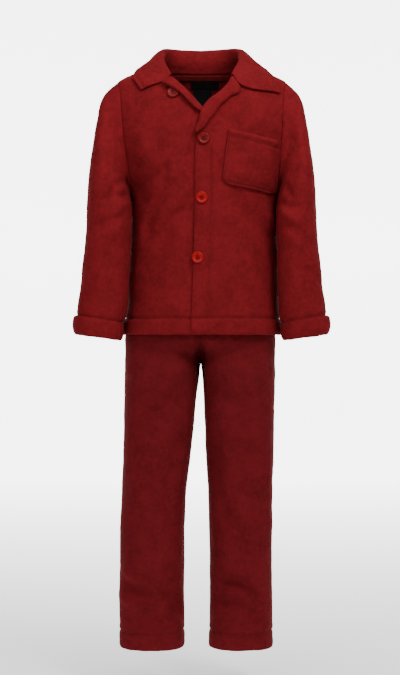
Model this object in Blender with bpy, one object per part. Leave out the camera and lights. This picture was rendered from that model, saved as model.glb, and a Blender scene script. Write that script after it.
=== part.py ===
"""Child's two-piece button-front pyjama set in plush fleece, filled out with no wearer.

Sizes are in millimetres and turn into metres when a mesh is made. The origin lies between the
wearer's shoulders, +Z is up, the front faces -Y and the wearer's left is at +X.
"""
import math

import bmesh
import bpy
import numpy as np
from mathutils import Vector

MM = 0.001

# ---- cloth ----
CLOTH = 3.0           # one layer of plush fleece, pile included
HEM_CLOTH = 3.6       # turned hem, two layers pressed together
COLLAR_CLOTH = 4.0    # two-layer collar
COLLAR_END_CLOTH = 2.4  # at its two ends
COLLAR_THINNING = (0.5, 0.85)     # reach over which it gets thinner towards its ends
NORMAL_ROUNDS = 2     # smoothing of the collar's thickness direction over its crest
SEAM_GAP = 0.3
ARMHOLE_GAP = 0.45    # the armhole and neck seams are strongly curved
NECK_SEAM_GAP = 0.5
LAID_GAP = 0.6        # a piece that lies on a curved panel
PLAN_POWER = 2.3      # squareness of the plan sections, 2 is an ellipse
TURN_STEP = 0.03      # plan angle and height between the places that a normal is taken from
HEIGHT_STEP = 1.5
SHARE_STEP = 0.02     # the same, as a share of the way round a leg

# ---- jacket ----
JACKET_HEM = -412.0
JACKET_HEM_DEPTH = 27.0
HEM_EASE = 8.0                    # height over which a hem's extra thickness fades
ARMPIT = -195.0
SHOULDER_TIP = 4.0
NECK_SIDE = 35.0
NECK_BACK = 28.0
LAPEL_FOOT = -90.0                # where the upper front's lapel starts to turn
OVERLAP_EASE = 12.0               # width over which the under front steps back
OVERLAP_START = -18.0             # where that width starts, from the upper front's edge
OVERLAP_SHIFT = 5.0               # how far it moves over above the lapel's foot
OVERLAP_SHIFT_RUN = 40.0          # height over which it does so
LAPEL_LIFT = 4.6                  # room between a front and its lapel at the roll

# Plan sections of the jacket body, hem to neck.
BODY = dict(
    height=(-412, -395, -380, -330, -272, -225, -195, -150, -110, -60, -20, 4, 13, 21, 29, 35),
    half_width=(130.6, 130.6, 127.6, 124.5, 122, 119.8, 119, 137, 150, 156, 151, 138, 121, 105, 86, 70),
    centre=(0.8, 1.0, 2.2, 3.0, 3.8, 4.4, 4.5, 3.6, 2.6, 1.4, 0.8, 0.4, 0.2, 0, 0, 0),
    front=(95, 95, 94, 92, 90, 91, 92, 93, 92, 86, 74, 61, 53, 47, 40, 35),
    back=(92, 92, 91, 88, 84, 84, 87, 91, 92, 90, 84, 76, 71, 66, 61, 57),
)
# Half-width at which the armhole is cut, armpit to shoulder tip.
ARMHOLE = dict(
    height=(-195, -190, -178, -158, -135, -110, -84, -58, -34, -15, -3, 4),
    half_width=(119, 118.6, 118.8, 120.5, 123, 126, 128.5, 130.2, 132, 134, 136.5, 138),
)
SIDE_ROWS = (-412, -404, -386, -366, -344, -322, -300, -278, -256, -236, -218, -205)
SHOULDER_ROWS = (13, 21, 29, 35)
FRONT_COLUMNS = 13
NECK_COLUMNS = 5      # columns of a front that meet the collar
BACK_COLUMNS = 18

# Front free edge of the upper (wearer's left) front, and of the under front, hem to lapel.
UPPER_EDGE = dict(height=(-412, -300, -200, -103, -90), across=(-17.5, -13.5, -11.0, -8.8, -7.0))
UNDER_EDGE = dict(height=(-412, -300, -200, -103, -62), across=(4.5, 8.0, 10.5, 12.0, 12.0))
# Neck seam from the gorge up to the shoulder, and the roll line from the gorge down.
NECK_SEAM = dict(across=(70, 68.5, 65, 59, 51.5), height=(35, 27, 18.5, 9, -1))
UPPER_ROLL = dict(
    across=(51.5, 44, 30, 17, 7.5, 2.5, -1.5, -7),
    height=(-1, -14.5, -29, -39, -50, -62, -76, -90),
)
UNDER_ROLL = dict(
    across=(51.5, 38, 25, 12, 2, -6, -14),
    height=(-1, -13, -26, -40, -51, -58, -64),
)
# Lapel width at each column below the gorge.
UPPER_LAPEL = (2, 19, 13.5, 13.5, 15.5, 17, 14, 9, 4)
UNDER_LAPEL = (15, 12, 9, 7.5, 7.5, 7, 5)
UPPER_LAPEL_GAP = 1.4  # between a front and its lapel's edge
UNDER_LAPEL_GAP = 4.2
LAPEL_SHARES = (0.3, 0.65, 1.0)
ARCH_ANGLES = (45, 90, 135, 180)

# Largest folds: straight soft ridges (+) and troughs (-) on the jacket, seen from the front.
SIDE_FOLD_EASE = 0.45  # sine of the plan angle below which the folds fade out
FRONT_FOLDS = (
    # from across, height, to across, height, half-width, rise
    (-36, -190, -68, -238, 10, 3.2),
    (-42, -150, -72, -206, 12, 2.4),
    (-58, -170, -84, -232, 9, -2.0),
    (64, -202, 104, -248, 13, -3.2),
    (40, -225, 80, -300, 15, 2.2),
    (-104, -176, -62, -150, 9, -2.2),
)
BACK_FOLDS = (
    (-96, -180, -40, -150, 12, -2.6),
    (98, -184, 44, -160, 12, -2.4),
    (-60, -250, 10, -290, 16, 2.2),
    (70, -240, 20, -320, 15, -2.4),
)

# ---- sleeves ----
# Rings from the armhole to the cuff: outer point, inner point (its gap to the body's side on
# each arm), half depth, share of the armhole's own outline that is left, wall.
SLEEVE = dict(
    outer_x=(149, 159.5, 166.5, 171, 175.5, 180, 183.5, 185.5, 186.5, 189, 193, 195.5, 200, 201.5, 205.5, 207.5,
             204),
    outer_z=(-5, -17, -34, -60, -92, -130, -165, -200, -235, -268, -300, -334, -360, -377, -383, -398, -412),
    inner_z=(-191, -189.8, -191.5, -197, -207, -221, -238, -257, -277, -298, -320, -345, -368, -389, -395,
             -410, -421.5),
    gap_right=(1.3, 3.3, 4.0, 3.3, 2.0, 0.3, -1.6, -3.1, -4.0, -4.4, -4.4, -4.4, -4.2, -3.6, -3.0, -2.4, 0.5),
    gap_left=(1.3, 3.3, 4.0, 3.3, 2.0, 0.3, -1.6, -3.1, -4.0, -4.4, -4.4, -4.4, -4.2, -3.6, -3.0, -2.4, 0.5),
    half_depth=(57, 56.5, 56, 55, 54, 52.5, 51, 49.5, 48, 46.5, 45, 43.5, 42, 41, 42, 42.3, 41.5),
    armhole_share=(0.9, 0.75, 0.55, 0.35, 0.15, 0, 0, 0, 0, 0, 0, 0, 0, 0, 0, 0, 0),
)
CUFF_RINGS = 3        # the last rings, of hem cloth
SLEEVE_FORWARD = 50.0  # how far the arm hangs in front of the armhole
FORWARD_RINGS = (0, 7)  # rings over which it moves forward

# ---- collar ----
# Crest of the roll from the back neck (reach 0) round to the gorge (reach 1).
COLLAR_CREST = dict(
    reach=(0, 0.18, 0.35, 0.48, 0.59, 0.70, 0.80, 0.90, 1.0),
    x=(0, 28, 49.5, 62, 66, 64.5, 60.5, 55.5, 49.5),
    y=(66, 62, 47, 24, 2, -19, -36.5, -51, -63.5),
    z=(66.5, 66.5, 65.5, 61, 52, 40.5, 28.5, 17, 5.5),
)
# Leaf edge as a place on the body: plan angle from the side (front +) and height.
LEAF_EDGE = dict(
    reach=(0, 0.18, 0.37, 0.50, 0.60, 0.72, 0.86, 1.0),
    left_angle=(-90, -68, -46, -22, 0, 26, 38, 36.5),
    left_height=(22, 20, 18, 21, 26, 13.5, -5, -23.5),
    right_angle=(-90, -68, -46, -22, 0, 28, 46, 53.5),
    right_height=(22, 20, 18, 21, 26, 13.5, -4.5, -20.5),
)
# How far the leaf departs from a straight fall, near the crest and near its edge.
LEAF_SAG = dict(
    reach=(0, 0.7, 0.86, 1.0),
    left_out=(0, 0, 2, 6),
    left_down=(0, 0, 8, 31),
    left_far_in=(0, 0, 6, 26),
    left_far_down=(0, 0, 4, 15),
    right_out=(0, 0, 0, 0),
    right_down=(0, 0, 4, 17),
    right_far_in=(0, 0, 1, 5.4),
    right_far_down=(0, 0, 0, -2),
)
COLLAR_END_GAP = 1.7  # between the collar's end and the lapel's top edge
CLEARING_STEPS = 4    # times a leaf point is moved off the body
LEAF_GAP = 1.1        # between the leaf and the body
CREST_ROUND = 8.0     # how far the crest runs level before it turns down
COLLAR_SHARES = (0.0, 0.4, 0.72, 1.0)
LEAF_SHARES = (0.17, 0.34, 0.53, 0.72, 0.88, 1.0)

# ---- pocket on the wearer's left front ----
POCKET_CORNERS = dict(across=(43, 121, 120, 31.5), height=(-84, -100, -186, -171))
POCKET_ROUND = 13.0
POCKET_HEM = 12.0
POCKET_CELLS = 7
# Rows over the pocket's rounded lower corners, as shares of the rounding from the lower edge.
POCKET_CORNER_ROWS = (0.62, 0.3, 0.08, 0.0)
POCKET_GAP = 0.8

# ---- neck tape and labels, inside the back ----
TAPE_ANGLES = (-150, -30)
TAPE_TOP = 26.5
TAPE_DEPTH = 7.5
TAPE_CLOTH = 1.2
TAPE_CELLS = (12, 2)  # across and down
LABEL_WIDTH = 47.0
LABEL_PLACE = 6.0     # both labels sit a little to the wearer's left
LABEL_TOP = 18.0
LABEL_DEPTH = 12.5
LABEL_CELLS = (5, 2)
CARE_WIDTH = 31.0
CARE_PLACE = 2.0
CARE_TOP = 4.0
CARE_DEPTH = 46.0
CARE_CELLS = (4, 4)
LABEL_CLOTH = 0.7

# ---- buttons ----
BUTTON_RADIUS = 9.3
BUTTON_THICK = 3.4
BUTTON_EDGE = 1.0     # rounding of the rim
BUTTON_RIM = 3.0      # width of the raised rim
BUTTON_DISH = 0.9     # how far the middle lies below the rim
BUTTON_SIDES = 20
BUTTON_HOLE_RADIUS = 1.15
BUTTON_HOLE_PLACE = 2.5
BUTTON_HOLE_SIDES = 6
BUTTON_GAP = 0.45
BUTTONS = (
    # name, across, height
    ("button_1", 3.6, -99.5),
    ("button_2", 0.2, -193.5),
    ("button_3", -6.4, -289.0),
    ("button_top", -45.5, -24.5),
)

# ---- trousers ----
LEG_HEM = -923.5
LEG_HEM_DEPTH = 27.0
WAIST = -253.0
CROTCH = -462.0
CROTCH_RISE = 62.0    # height over which the crotch seam turns up into the centre seams
HIP_CENTRE = -1.8
LEG_COLUMNS = 10
LEG_ROWS = (-923.5, -915, -896, -870, -842, -814, -784, -752, -718, -684, -650, -615, -580, -550,
            -522, -498, -478, -462, -447, -430, -410, -386, -356, -320, -286, -268, -253)
WAIST_CASING = 28.0
LEG = dict(
    height=(-923.5, -895, -850, -800, -720, -667, -614, -561, -521, -482, -462),
    right_centre=(81.6, 81.8, 82.2, 81.5, 80.6, 78.0, 73.8, 70.2, 68.4, 65.2, 64.0),
    right_half=(53.0, 53.2, 53.6, 53.0, 53.4, 53.3, 55.5, 57.8, 59.2, 61.0, 62.2),
    left_centre=(64.8, 65.2, 65.6, 64.8, 64.7, 64.0, 63.2, 62.5, 62.4, 61.8, 60.2),
    left_half=(52.6, 52.0, 51.6, 51.0, 52.2, 53.0, 55.4, 57.0, 58.3, 59.8, 61.0),
    front=(53.5, 53.5, 54, 55, 57, 59, 61.5, 65, 68, 72, 74),
    back=(53, 53, 54, 55.5, 58, 61, 65, 69.5, 73, 78, 80),
)
HIP = dict(
    height=(-462, -440, -418, -405, -392, -380, -350, -300, -253),
    half=(123.6, 123.8, 123.8, 122.6, 120, 117, 114, 106, 100),
    front=(80, 82, 82, 81.5, 81, 80, 78, 75, 72),
    back=(85, 86, 85, 84, 82.5, 81, 79, 76, 73),
)
LEG_SEAM_EASE = 0.25  # share of the way round over which the folds fade out at a seam
BACK_FOLD_SHARE = 0.7 # height of a leg's folds on its back
LEG_FOLDS = (
    # leg side (-1 right, +1 left), from across, height, to across, height, half-width, rise
    (-1, -112, -822, -84, -838, 12, -3.0),
    (-1, -58, -836, -36, -858, 12, -3.0),
    (-1, -106, -786, -60, -778, 13, 2.6),
    (-1, -44, -520, -96, -560, 16, -2.6),
    (1, 40, -812, 84, -838, 11, -3.2),
    (1, 34, -846, 80, -866, 11, -2.8),
    (1, 30, -505, 84, -548, 15, -2.6),
    (1, 60, -700, 104, -716, 14, 2.2),
)


def smooth(table, column, key="height"):
    """A curve through one column of a table, with slopes taken from the rows on each side."""
    places = np.array(table[key], float)
    values = np.array(table[column], float)
    slopes = np.gradient(values, places)

    def value(place):
        place = np.asarray(place, float)
        row = np.clip(np.searchsorted(places, place) - 1, 0, len(places) - 2)
        step = places[row + 1] - places[row]
        share = np.clip((place - places[row]) / step, 0, 1)
        rest = 1 - share
        ends = rest * rest * (1 + 2 * share) * values[row] + share * share * (3 - 2 * share) * values[row + 1]
        return ends + step * share * rest * (rest * slopes[row] - share * slopes[row + 1])

    return value


def ease(share):
    share = np.clip(share, 0, 1)
    return share * share * (3 - 2 * share)


def unit(vector):
    return vector / np.maximum(np.linalg.norm(vector, axis=-1, keepdims=True), 1e-9)


def spread_of_folds(folds, across, height):
    """Rise of the cloth at a place, summed over soft straight ridges and troughs."""
    total = np.zeros(np.broadcast(across, height).shape)
    for from_x, from_z, to_x, to_z, half_width, rise in folds:
        run = np.array([to_x - from_x, to_z - from_z], float)
        length = np.linalg.norm(run)
        along = ((across - from_x) * run[0] + (height - from_z) * run[1]) / length
        aside = ((across - from_x) * run[1] - (height - from_z) * run[0]) / length
        past = np.maximum(np.maximum(-along, along - length), 0)
        total = total + rise * np.exp(-(aside / half_width) ** 2 - (past / (1.4 * half_width)) ** 2)
    return total


# ---- the jacket body as one smooth form that its panels are cut from ----
body_half = smooth(BODY, "half_width")
body_centre = smooth(BODY, "centre")
body_front = smooth(BODY, "front")
body_back = smooth(BODY, "back")
armhole_half = smooth(ARMHOLE, "half_width")


def squared(value):
    """Sine or cosine drawn out so that a plan section is squarer than an ellipse."""
    return np.sign(value) * np.abs(value) ** (2 / PLAN_POWER)


def body_form(angle, height):
    """Outer face of the body, angle 0 at the wearer's left side and 90 degrees at the front."""
    angle, height = np.broadcast_arrays(np.asarray(angle, float), np.asarray(height, float))
    sine, cosine = np.sin(angle), np.cos(angle)
    depth = np.where(sine >= 0, body_front(height), body_back(height))
    x = body_centre(height) + body_half(height) * squared(cosine)
    return np.stack([x, -depth * squared(sine), height], axis=-1)


def form_normal(form, first, second, step_first, step_second):
    """Outward normal of a form, from points a small step to each side."""
    one = form(first + step_first, second) - form(first - step_first, second)
    two = form(first, second + step_second) - form(first, second - step_second)
    return unit(np.cross(two, one))


def body_normal(angle, height):
    angle, height = np.asarray(angle, float), np.asarray(height, float)
    return form_normal(body_form, angle, height, TURN_STEP, HEIGHT_STEP)


def body_cloth(angle, height):
    """Outer face of the body with its folds, and its normal."""
    base = body_form(angle, height)
    normal = body_normal(angle, height)
    sine = np.sin(angle)
    front = spread_of_folds(FRONT_FOLDS, base[..., 0], base[..., 2])
    back = spread_of_folds(BACK_FOLDS, base[..., 0], base[..., 2])
    rise = np.where(sine >= 0, front, back) * ease(np.abs(sine) / SIDE_FOLD_EASE)
    return base + normal * rise[..., None], normal


def front_angle(across, height):
    """Plan angle of a place on the front, given as seen from the front."""
    share = np.clip((across - body_centre(height)) / body_half(height), -1, 1)
    return np.arccos(np.sign(share) * np.abs(share) ** (PLAN_POWER / 2))


def front_place(across, height):
    return body_cloth(front_angle(across, height), height)


def wall_thickness(height):
    """Cloth of the body, thicker over the turned hem."""
    return CLOTH + (HEM_CLOTH - CLOTH) * ease((JACKET_HEM + JACKET_HEM_DEPTH - height) / HEM_EASE + 0.5)


# ---- meshes ----
def make_material(name, colour, roughness):
    material = bpy.data.materials.new(name)
    material.use_nodes = True
    shader = material.node_tree.nodes["Principled BSDF"]
    shader.inputs["Base Color"].default_value = (*colour, 1)
    shader.inputs["Roughness"].default_value = roughness
    shader.inputs["Metallic"].default_value = 0
    return material


def add_object(name, mesh_builder, finish):
    mesh = bpy.data.meshes.new(name)
    mesh_builder.to_mesh(mesh)
    mesh_builder.free()
    mesh.shade_smooth()
    mesh.set_sharp_from_angle(angle=math.radians(40))
    piece = bpy.data.objects.new(name, mesh)
    bpy.context.scene.collection.objects.link(piece)
    mesh.materials.append(make_material(name + "_finish", *finish))
    return piece


def add_wall(name, outer, inner, finish, cells=None, tube=False):
    """A cloth wall between two grids of points. A tube joins its last column to its first."""
    rows, columns = outer.shape[:2]
    spans = columns if tube else columns - 1
    if cells is None:
        cells = np.ones((rows - 1, spans), bool)
    work = bmesh.new()
    near = [[work.verts.new(outer[i, j] * MM) for j in range(columns)] for i in range(rows)]
    far = [[work.verts.new(inner[i, j] * MM) for j in range(columns)] for i in range(rows)]

    def filled(i, j):
        if tube:
            j %= spans
        return 0 <= i < rows - 1 and 0 <= j < spans and cells[i, j]

    for i in range(rows - 1):
        for j in range(spans):
            if not cells[i, j]:
                continue
            k = (j + 1) % columns
            work.faces.new((near[i][j], near[i][k], near[i + 1][k], near[i + 1][j]))
            work.faces.new((far[i + 1][j], far[i + 1][k], far[i][k], far[i][j]))
            if not filled(i - 1, j):
                work.faces.new((near[i][k], near[i][j], far[i][j], far[i][k]))
            if not filled(i + 1, j):
                work.faces.new((near[i + 1][j], near[i + 1][k], far[i + 1][k], far[i + 1][j]))
            if not filled(i, j - 1):
                work.faces.new((near[i][j], near[i + 1][j], far[i + 1][j], far[i][j]))
            if not filled(i, j + 1):
                work.faces.new((near[i + 1][k], near[i][k], far[i][k], far[i + 1][k]))
    loose = [vertex for vertex in work.verts if not vertex.link_faces]
    bmesh.ops.delete(work, geom=loose, context="VERTS")
    bmesh.ops.recalc_face_normals(work, faces=work.faces)
    return add_object(name, work, finish)


# ---- jacket panels ----
def side_boundary(side):
    """Left or right boundary of a panel, hem to neck: side seam, armhole, shoulder seam."""
    heights = list(SIDE_ROWS) + list(ARMHOLE["height"]) + list(SHOULDER_ROWS)
    turns = []
    for height in heights:
        turn = 0.0
        if ARMPIT < height < SHOULDER_TIP:
            share = armhole_half(height) / body_half(height)
            turn = math.acos(min(1.0, share) ** (PLAN_POWER / 2))
        turns.append(turn)
    return np.array(turns), np.array(heights, float)


def along_path(across, height, count):
    """Evenly spaced places on a smooth path over the front."""
    keys = np.arange(len(across))
    path = dict(key=keys, across=across, height=height)
    fine = np.linspace(0, len(across) - 1, 200)
    x, z = smooth(path, "across", "key")(fine), smooth(path, "height", "key")(fine)
    points = body_form(front_angle(x, z), z)
    run = np.concatenate([[0], np.cumsum(np.linalg.norm(np.diff(points, axis=0), axis=1))])
    wanted = np.linspace(0, run[-1], count)
    return np.interp(wanted, run, x), np.interp(wanted, run, z)


def neck_line(side, roll):
    """Top boundary of a front: neck seam from the shoulder to the gorge, then the roll line."""
    seam_x, seam_z = along_path(NECK_SEAM["across"], NECK_SEAM["height"], NECK_COLUMNS + 1)
    roll_x, roll_z = along_path(roll["across"], roll["height"], FRONT_COLUMNS - NECK_COLUMNS + 1)
    x = np.concatenate([seam_x, roll_x[1:]]) * side
    z = np.concatenate([seam_z, roll_z[1:]])
    angle = front_angle(x, z)
    angle[0] = 0.0 if side > 0 else math.pi
    return angle, z


def coons(bottom, top, left, right):
    """Places inside a four-sided patch, blended from its four edges."""
    across = np.linspace(0, 1, len(bottom))[None, :]
    up = np.linspace(0, 1, len(left))[:, None]
    sides = (1 - across) * left[:, None] + across * right[:, None]
    ends = (1 - up) * bottom[None, :] + up * top[None, :]
    corners = (
        (1 - up) * ((1 - across) * bottom[0] + across * bottom[-1])
        + up * ((1 - across) * top[0] + across * top[-1])
    )
    return sides + ends - corners


def panel_places(side, edge, roll):
    """Plan angle and height of each grid point of a front, outer side first."""
    turn, level = side_boundary(side)
    lower = len(SIDE_ROWS)
    start = turn if side > 0 else math.pi - turn
    edge_across = smooth(edge, "across")
    low_heights = level[:lower + 1]
    low_ends = front_angle(edge_across(low_heights), low_heights)
    share = np.linspace(0, 1, FRONT_COLUMNS + 1)
    low_angle = start[:lower + 1, None] * (1 - share) + low_ends[:, None] * share
    low_height = np.repeat(low_heights[:, None], FRONT_COLUMNS + 1, axis=1)
    top_angle, top_height = neck_line(side, roll)
    upper_rows = len(level) - lower
    right_height = np.linspace(ARMPIT, top_height[-1], upper_rows)
    right_angle = front_angle(edge_across(right_height), right_height)
    right_angle[-1] = top_angle[-1]
    high_angle = coons(low_angle[-1], top_angle, start[lower:], right_angle)
    high_height = coons(low_height[-1], top_height, level[lower:], right_height)
    angle = np.concatenate([low_angle[:-1], high_angle])
    height = np.concatenate([low_height[:-1], high_height])
    return angle, height


def step_back(points, normals, amount, start):
    """Moves the part of a panel that lies under the other front inwards."""
    under = ease((points[..., 0] - start(points[..., 2])) / OVERLAP_EASE)
    return points - normals * (amount * under)[..., None]


def make_front(name, side, edge, roll, widths, edge_gap, finish):
    angle, height = panel_places(side, edge, roll)
    outer, normal = body_cloth(angle, height)
    upper_edge = smooth(UPPER_EDGE, "across")

    def overlap_start(level):
        start = upper_edge(np.minimum(level, LAPEL_FOOT)) + OVERLAP_START
        return start + OVERLAP_SHIFT * ease((level - LAPEL_FOOT) / OVERLAP_SHIFT_RUN)

    def placed(points, normals):
        if side > 0:
            return points
        amount = wall_thickness(points[..., 2]) + LAID_GAP
        return step_back(points, normals, amount, overlap_start)

    thick = wall_thickness(height)[..., None]
    inner = placed(outer - normal * thick, normal)
    outer = placed(outer, normal)
    outer[:, 0, 1] -= SEAM_GAP / 2 * seam_mask()
    inner[:, 0, 1] -= SEAM_GAP / 2 * seam_mask()
    # The lapel: an arch over the roll line, then a strip back over the panel.
    first = NECK_COLUMNS
    last = min(first + len(widths), FRONT_COLUMNS + 1)
    line = body_form(angle[-1], height[-1])
    tangent = unit(np.gradient(line, axis=0))
    off = unit(np.cross(normal[-1], tangent)) * -side
    radius = LAPEL_LIFT / 2
    extra_outer, extra_inner = [], []
    for degrees in ARCH_ANGLES:
        turn = math.radians(degrees)
        spoke = off * math.sin(turn) - normal[-1] * math.cos(turn)
        centre = outer[-1] + normal[-1] * radius
        extra_outer.append(centre + spoke * radius)
        extra_inner.append(centre + spoke * (radius + CLOTH))
    width = np.zeros(FRONT_COLUMNS + 1)
    width[first:last] = widths
    for share in LAPEL_SHARES:
        place = line - off * (width * share)[:, None]
        laid, laid_normal = front_place(place[:, 0], place[:, 2])
        laid = placed(laid, laid_normal)
        gap = (LAPEL_LIFT + (edge_gap - LAPEL_LIFT) * share)
        extra_outer.append(laid + laid_normal * gap)
        extra_inner.append(laid + laid_normal * (gap + CLOTH))
    rows = len(outer)
    outer = np.concatenate([outer, np.array(extra_outer)])
    inner = np.concatenate([inner, np.array(extra_inner)])
    cells = np.ones((len(outer) - 1, FRONT_COLUMNS), bool)
    cells[rows - 1:, :first] = False
    cells[rows - 1:, last - 1:] = False
    piece = add_wall(name, outer, inner, finish, cells)
    return piece, outer[:rows], inner[:rows]


def seam_mask():
    """1 on the rows that end in a side or shoulder seam, 0 along the armhole."""
    turn = side_boundary(1)[0]
    return (turn == 0).astype(float)


def make_back(finish):
    turn, level = side_boundary(1)
    lower = len(SIDE_ROWS)
    share = np.linspace(0, 1, BACK_COLUMNS + 1)
    left, right = -turn, turn - math.pi
    low_angle = left[:lower + 1, None] * (1 - share) + right[:lower + 1, None] * share
    low_height = np.repeat(level[:lower + 1, None], BACK_COLUMNS + 1, axis=1)
    top_angle = -math.pi * share
    top_height = NECK_SIDE - (NECK_SIDE - NECK_BACK) * np.sin(math.pi * share) ** 0.8
    high_angle = coons(low_angle[-1], top_angle, left[lower:], right[lower:])
    high_height = coons(low_height[-1], top_height, level[lower:], level[lower:])
    angle = np.concatenate([low_angle[:-1], high_angle])
    height = np.concatenate([low_height[:-1], high_height])
    outer, normal = body_cloth(angle, height)
    inner = outer - normal * wall_thickness(height)[..., None]
    for column in (0, -1):
        outer[:, column, 1] += SEAM_GAP / 2 * seam_mask()
        inner[:, column, 1] += SEAM_GAP / 2 * seam_mask()
    add_wall("jacket_back", outer, inner, finish)
    return outer, inner


# ---- sleeves ----
def grid_normals(points):
    """Normals of a tube's grid, from the points on each side."""
    around = np.roll(points, -1, axis=1) - np.roll(points, 1, axis=1)
    along = np.gradient(points, axis=0)
    return unit(np.cross(along, around))


def make_sleeve(name, side, front, back, gap_column, finish):
    """front and back are the outer and inner points of the armhole's two edges, armpit to tip."""
    front_outer, front_inner = front
    back_outer, back_inner = back
    loop = np.concatenate([front_outer, back_outer[-2:0:-1]])
    loop_inner = np.concatenate([front_inner, back_inner[-2:0:-1]])
    count = len(front_outer)
    low, high = loop[0], loop[count - 1]
    loop[0] = (front_outer[0] + back_outer[0]) / 2
    loop[count - 1] = (front_outer[-1] + back_outer[-1]) / 2
    loop_inner[0] = (front_inner[0] + back_inner[0]) / 2
    loop_inner[count - 1] = (front_inner[-1] + back_inner[-1]) / 2
    # Outward across the seam, in the cloth's own plane.
    seam = unit(np.roll(loop, -1, axis=0) - np.roll(loop, 1, axis=0))
    normal = unit(loop - loop_inner)
    off = np.cross(seam, normal)
    middle = loop.mean(axis=0)
    off *= np.sign(((loop - middle) * off).sum(axis=1, keepdims=True)) * -1
    start = loop + off * ARMHOLE_GAP
    start_inner = loop_inner + off * ARMHOLE_GAP
    up = (loop[:, 2] - low[2]) / (high[2] - low[2])
    up = np.clip(up, 0, 1)
    facing = np.sign(loop[:, 1])
    facing[[0, count - 1]] = 0
    round_share = (1 - np.abs(2 * up - 1) ** PLAN_POWER) ** (1 / PLAN_POWER)
    rings = [start]
    total = len(SLEEVE["outer_x"])
    for ring in range(total):
        outer_point = np.array([side * SLEEVE["outer_x"][ring], 0.0, SLEEVE["outer_z"][ring]])
        inner_z = SLEEVE["inner_z"][ring]
        body_side = body_half(min(inner_z, ARMPIT)) + side * body_centre(min(inner_z, ARMPIT))
        inner_point = np.array([side * (body_side + SLEEVE[gap_column][ring]), 0.0, inner_z])
        spine = inner_point + (outer_point - inner_point) * up[:, None]
        share = SLEEVE["armhole_share"][ring]
        swing = share * np.abs(loop[:, 1]) + (1 - share) * SLEEVE["half_depth"][ring] * round_share
        # The armhole bends forward and back of its own straight line, and so do the first rings.
        bow = loop[:, 0] - (low[0] + (high[0] - low[0]) * up)
        spine[:, 0] += bow * share
        forward = SLEEVE_FORWARD * ease((ring - FORWARD_RINGS[0]) / np.ptp(FORWARD_RINGS))
        spine[:, 1] = facing * swing - forward
        rings.append(spine)
    outer = np.array(rings)
    normals = grid_normals(outer)
    centre = outer.mean(axis=1, keepdims=True)
    if ((outer - centre) * normals).sum() < 0:
        normals = -normals
    walls = np.full(len(outer), CLOTH)
    walls[-CUFF_RINGS:] = HEM_CLOTH
    inner = outer - normals * walls[:, None, None]
    inner[0] = start_inner
    add_wall(name, outer, inner, finish, tube=True)


# ---- collar ----
def clear_of_body(point, distance):
    """A point moved out, where needed, to lie this far outside the body."""
    for _ in range(CLEARING_STEPS):
        x, y, z = point
        if z > NECK_SIDE:
            return point
        half, middle = float(body_half(z)), float(body_centre(z))
        depth = float(body_front(z)) if y <= 0 else float(body_back(z))
        size = (abs((x - middle) / half) ** PLAN_POWER + abs(y / depth) ** PLAN_POWER) ** (1 / PLAN_POWER)
        sine = -y / depth / max(size, 1e-6)
        cosine = (x - middle) / half / max(size, 1e-6)
        angle = math.atan2(
            math.copysign(abs(sine) ** (PLAN_POWER / 2), sine),
            math.copysign(abs(cosine) ** (PLAN_POWER / 2), cosine),
        )
        normal = body_normal(angle, z)
        reach = math.hypot(x - middle, y) * (1 - 1 / max(size, 1e-6))
        outward = unit(np.array([x - middle, y, 0.0]))
        height_above = reach * float(np.dot(outward, normal))
        if height_above >= distance - 0.05:
            return point
        point = point + normal * (distance - height_above)
    return point


def bezier(points, shares):
    shares = np.asarray(shares)[:, None]
    rest = 1 - shares
    return (
        points[0] * rest ** 3 + 3 * points[1] * rest ** 2 * shares
        + 3 * points[2] * rest * shares ** 2 + points[3] * shares ** 3
    )


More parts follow.
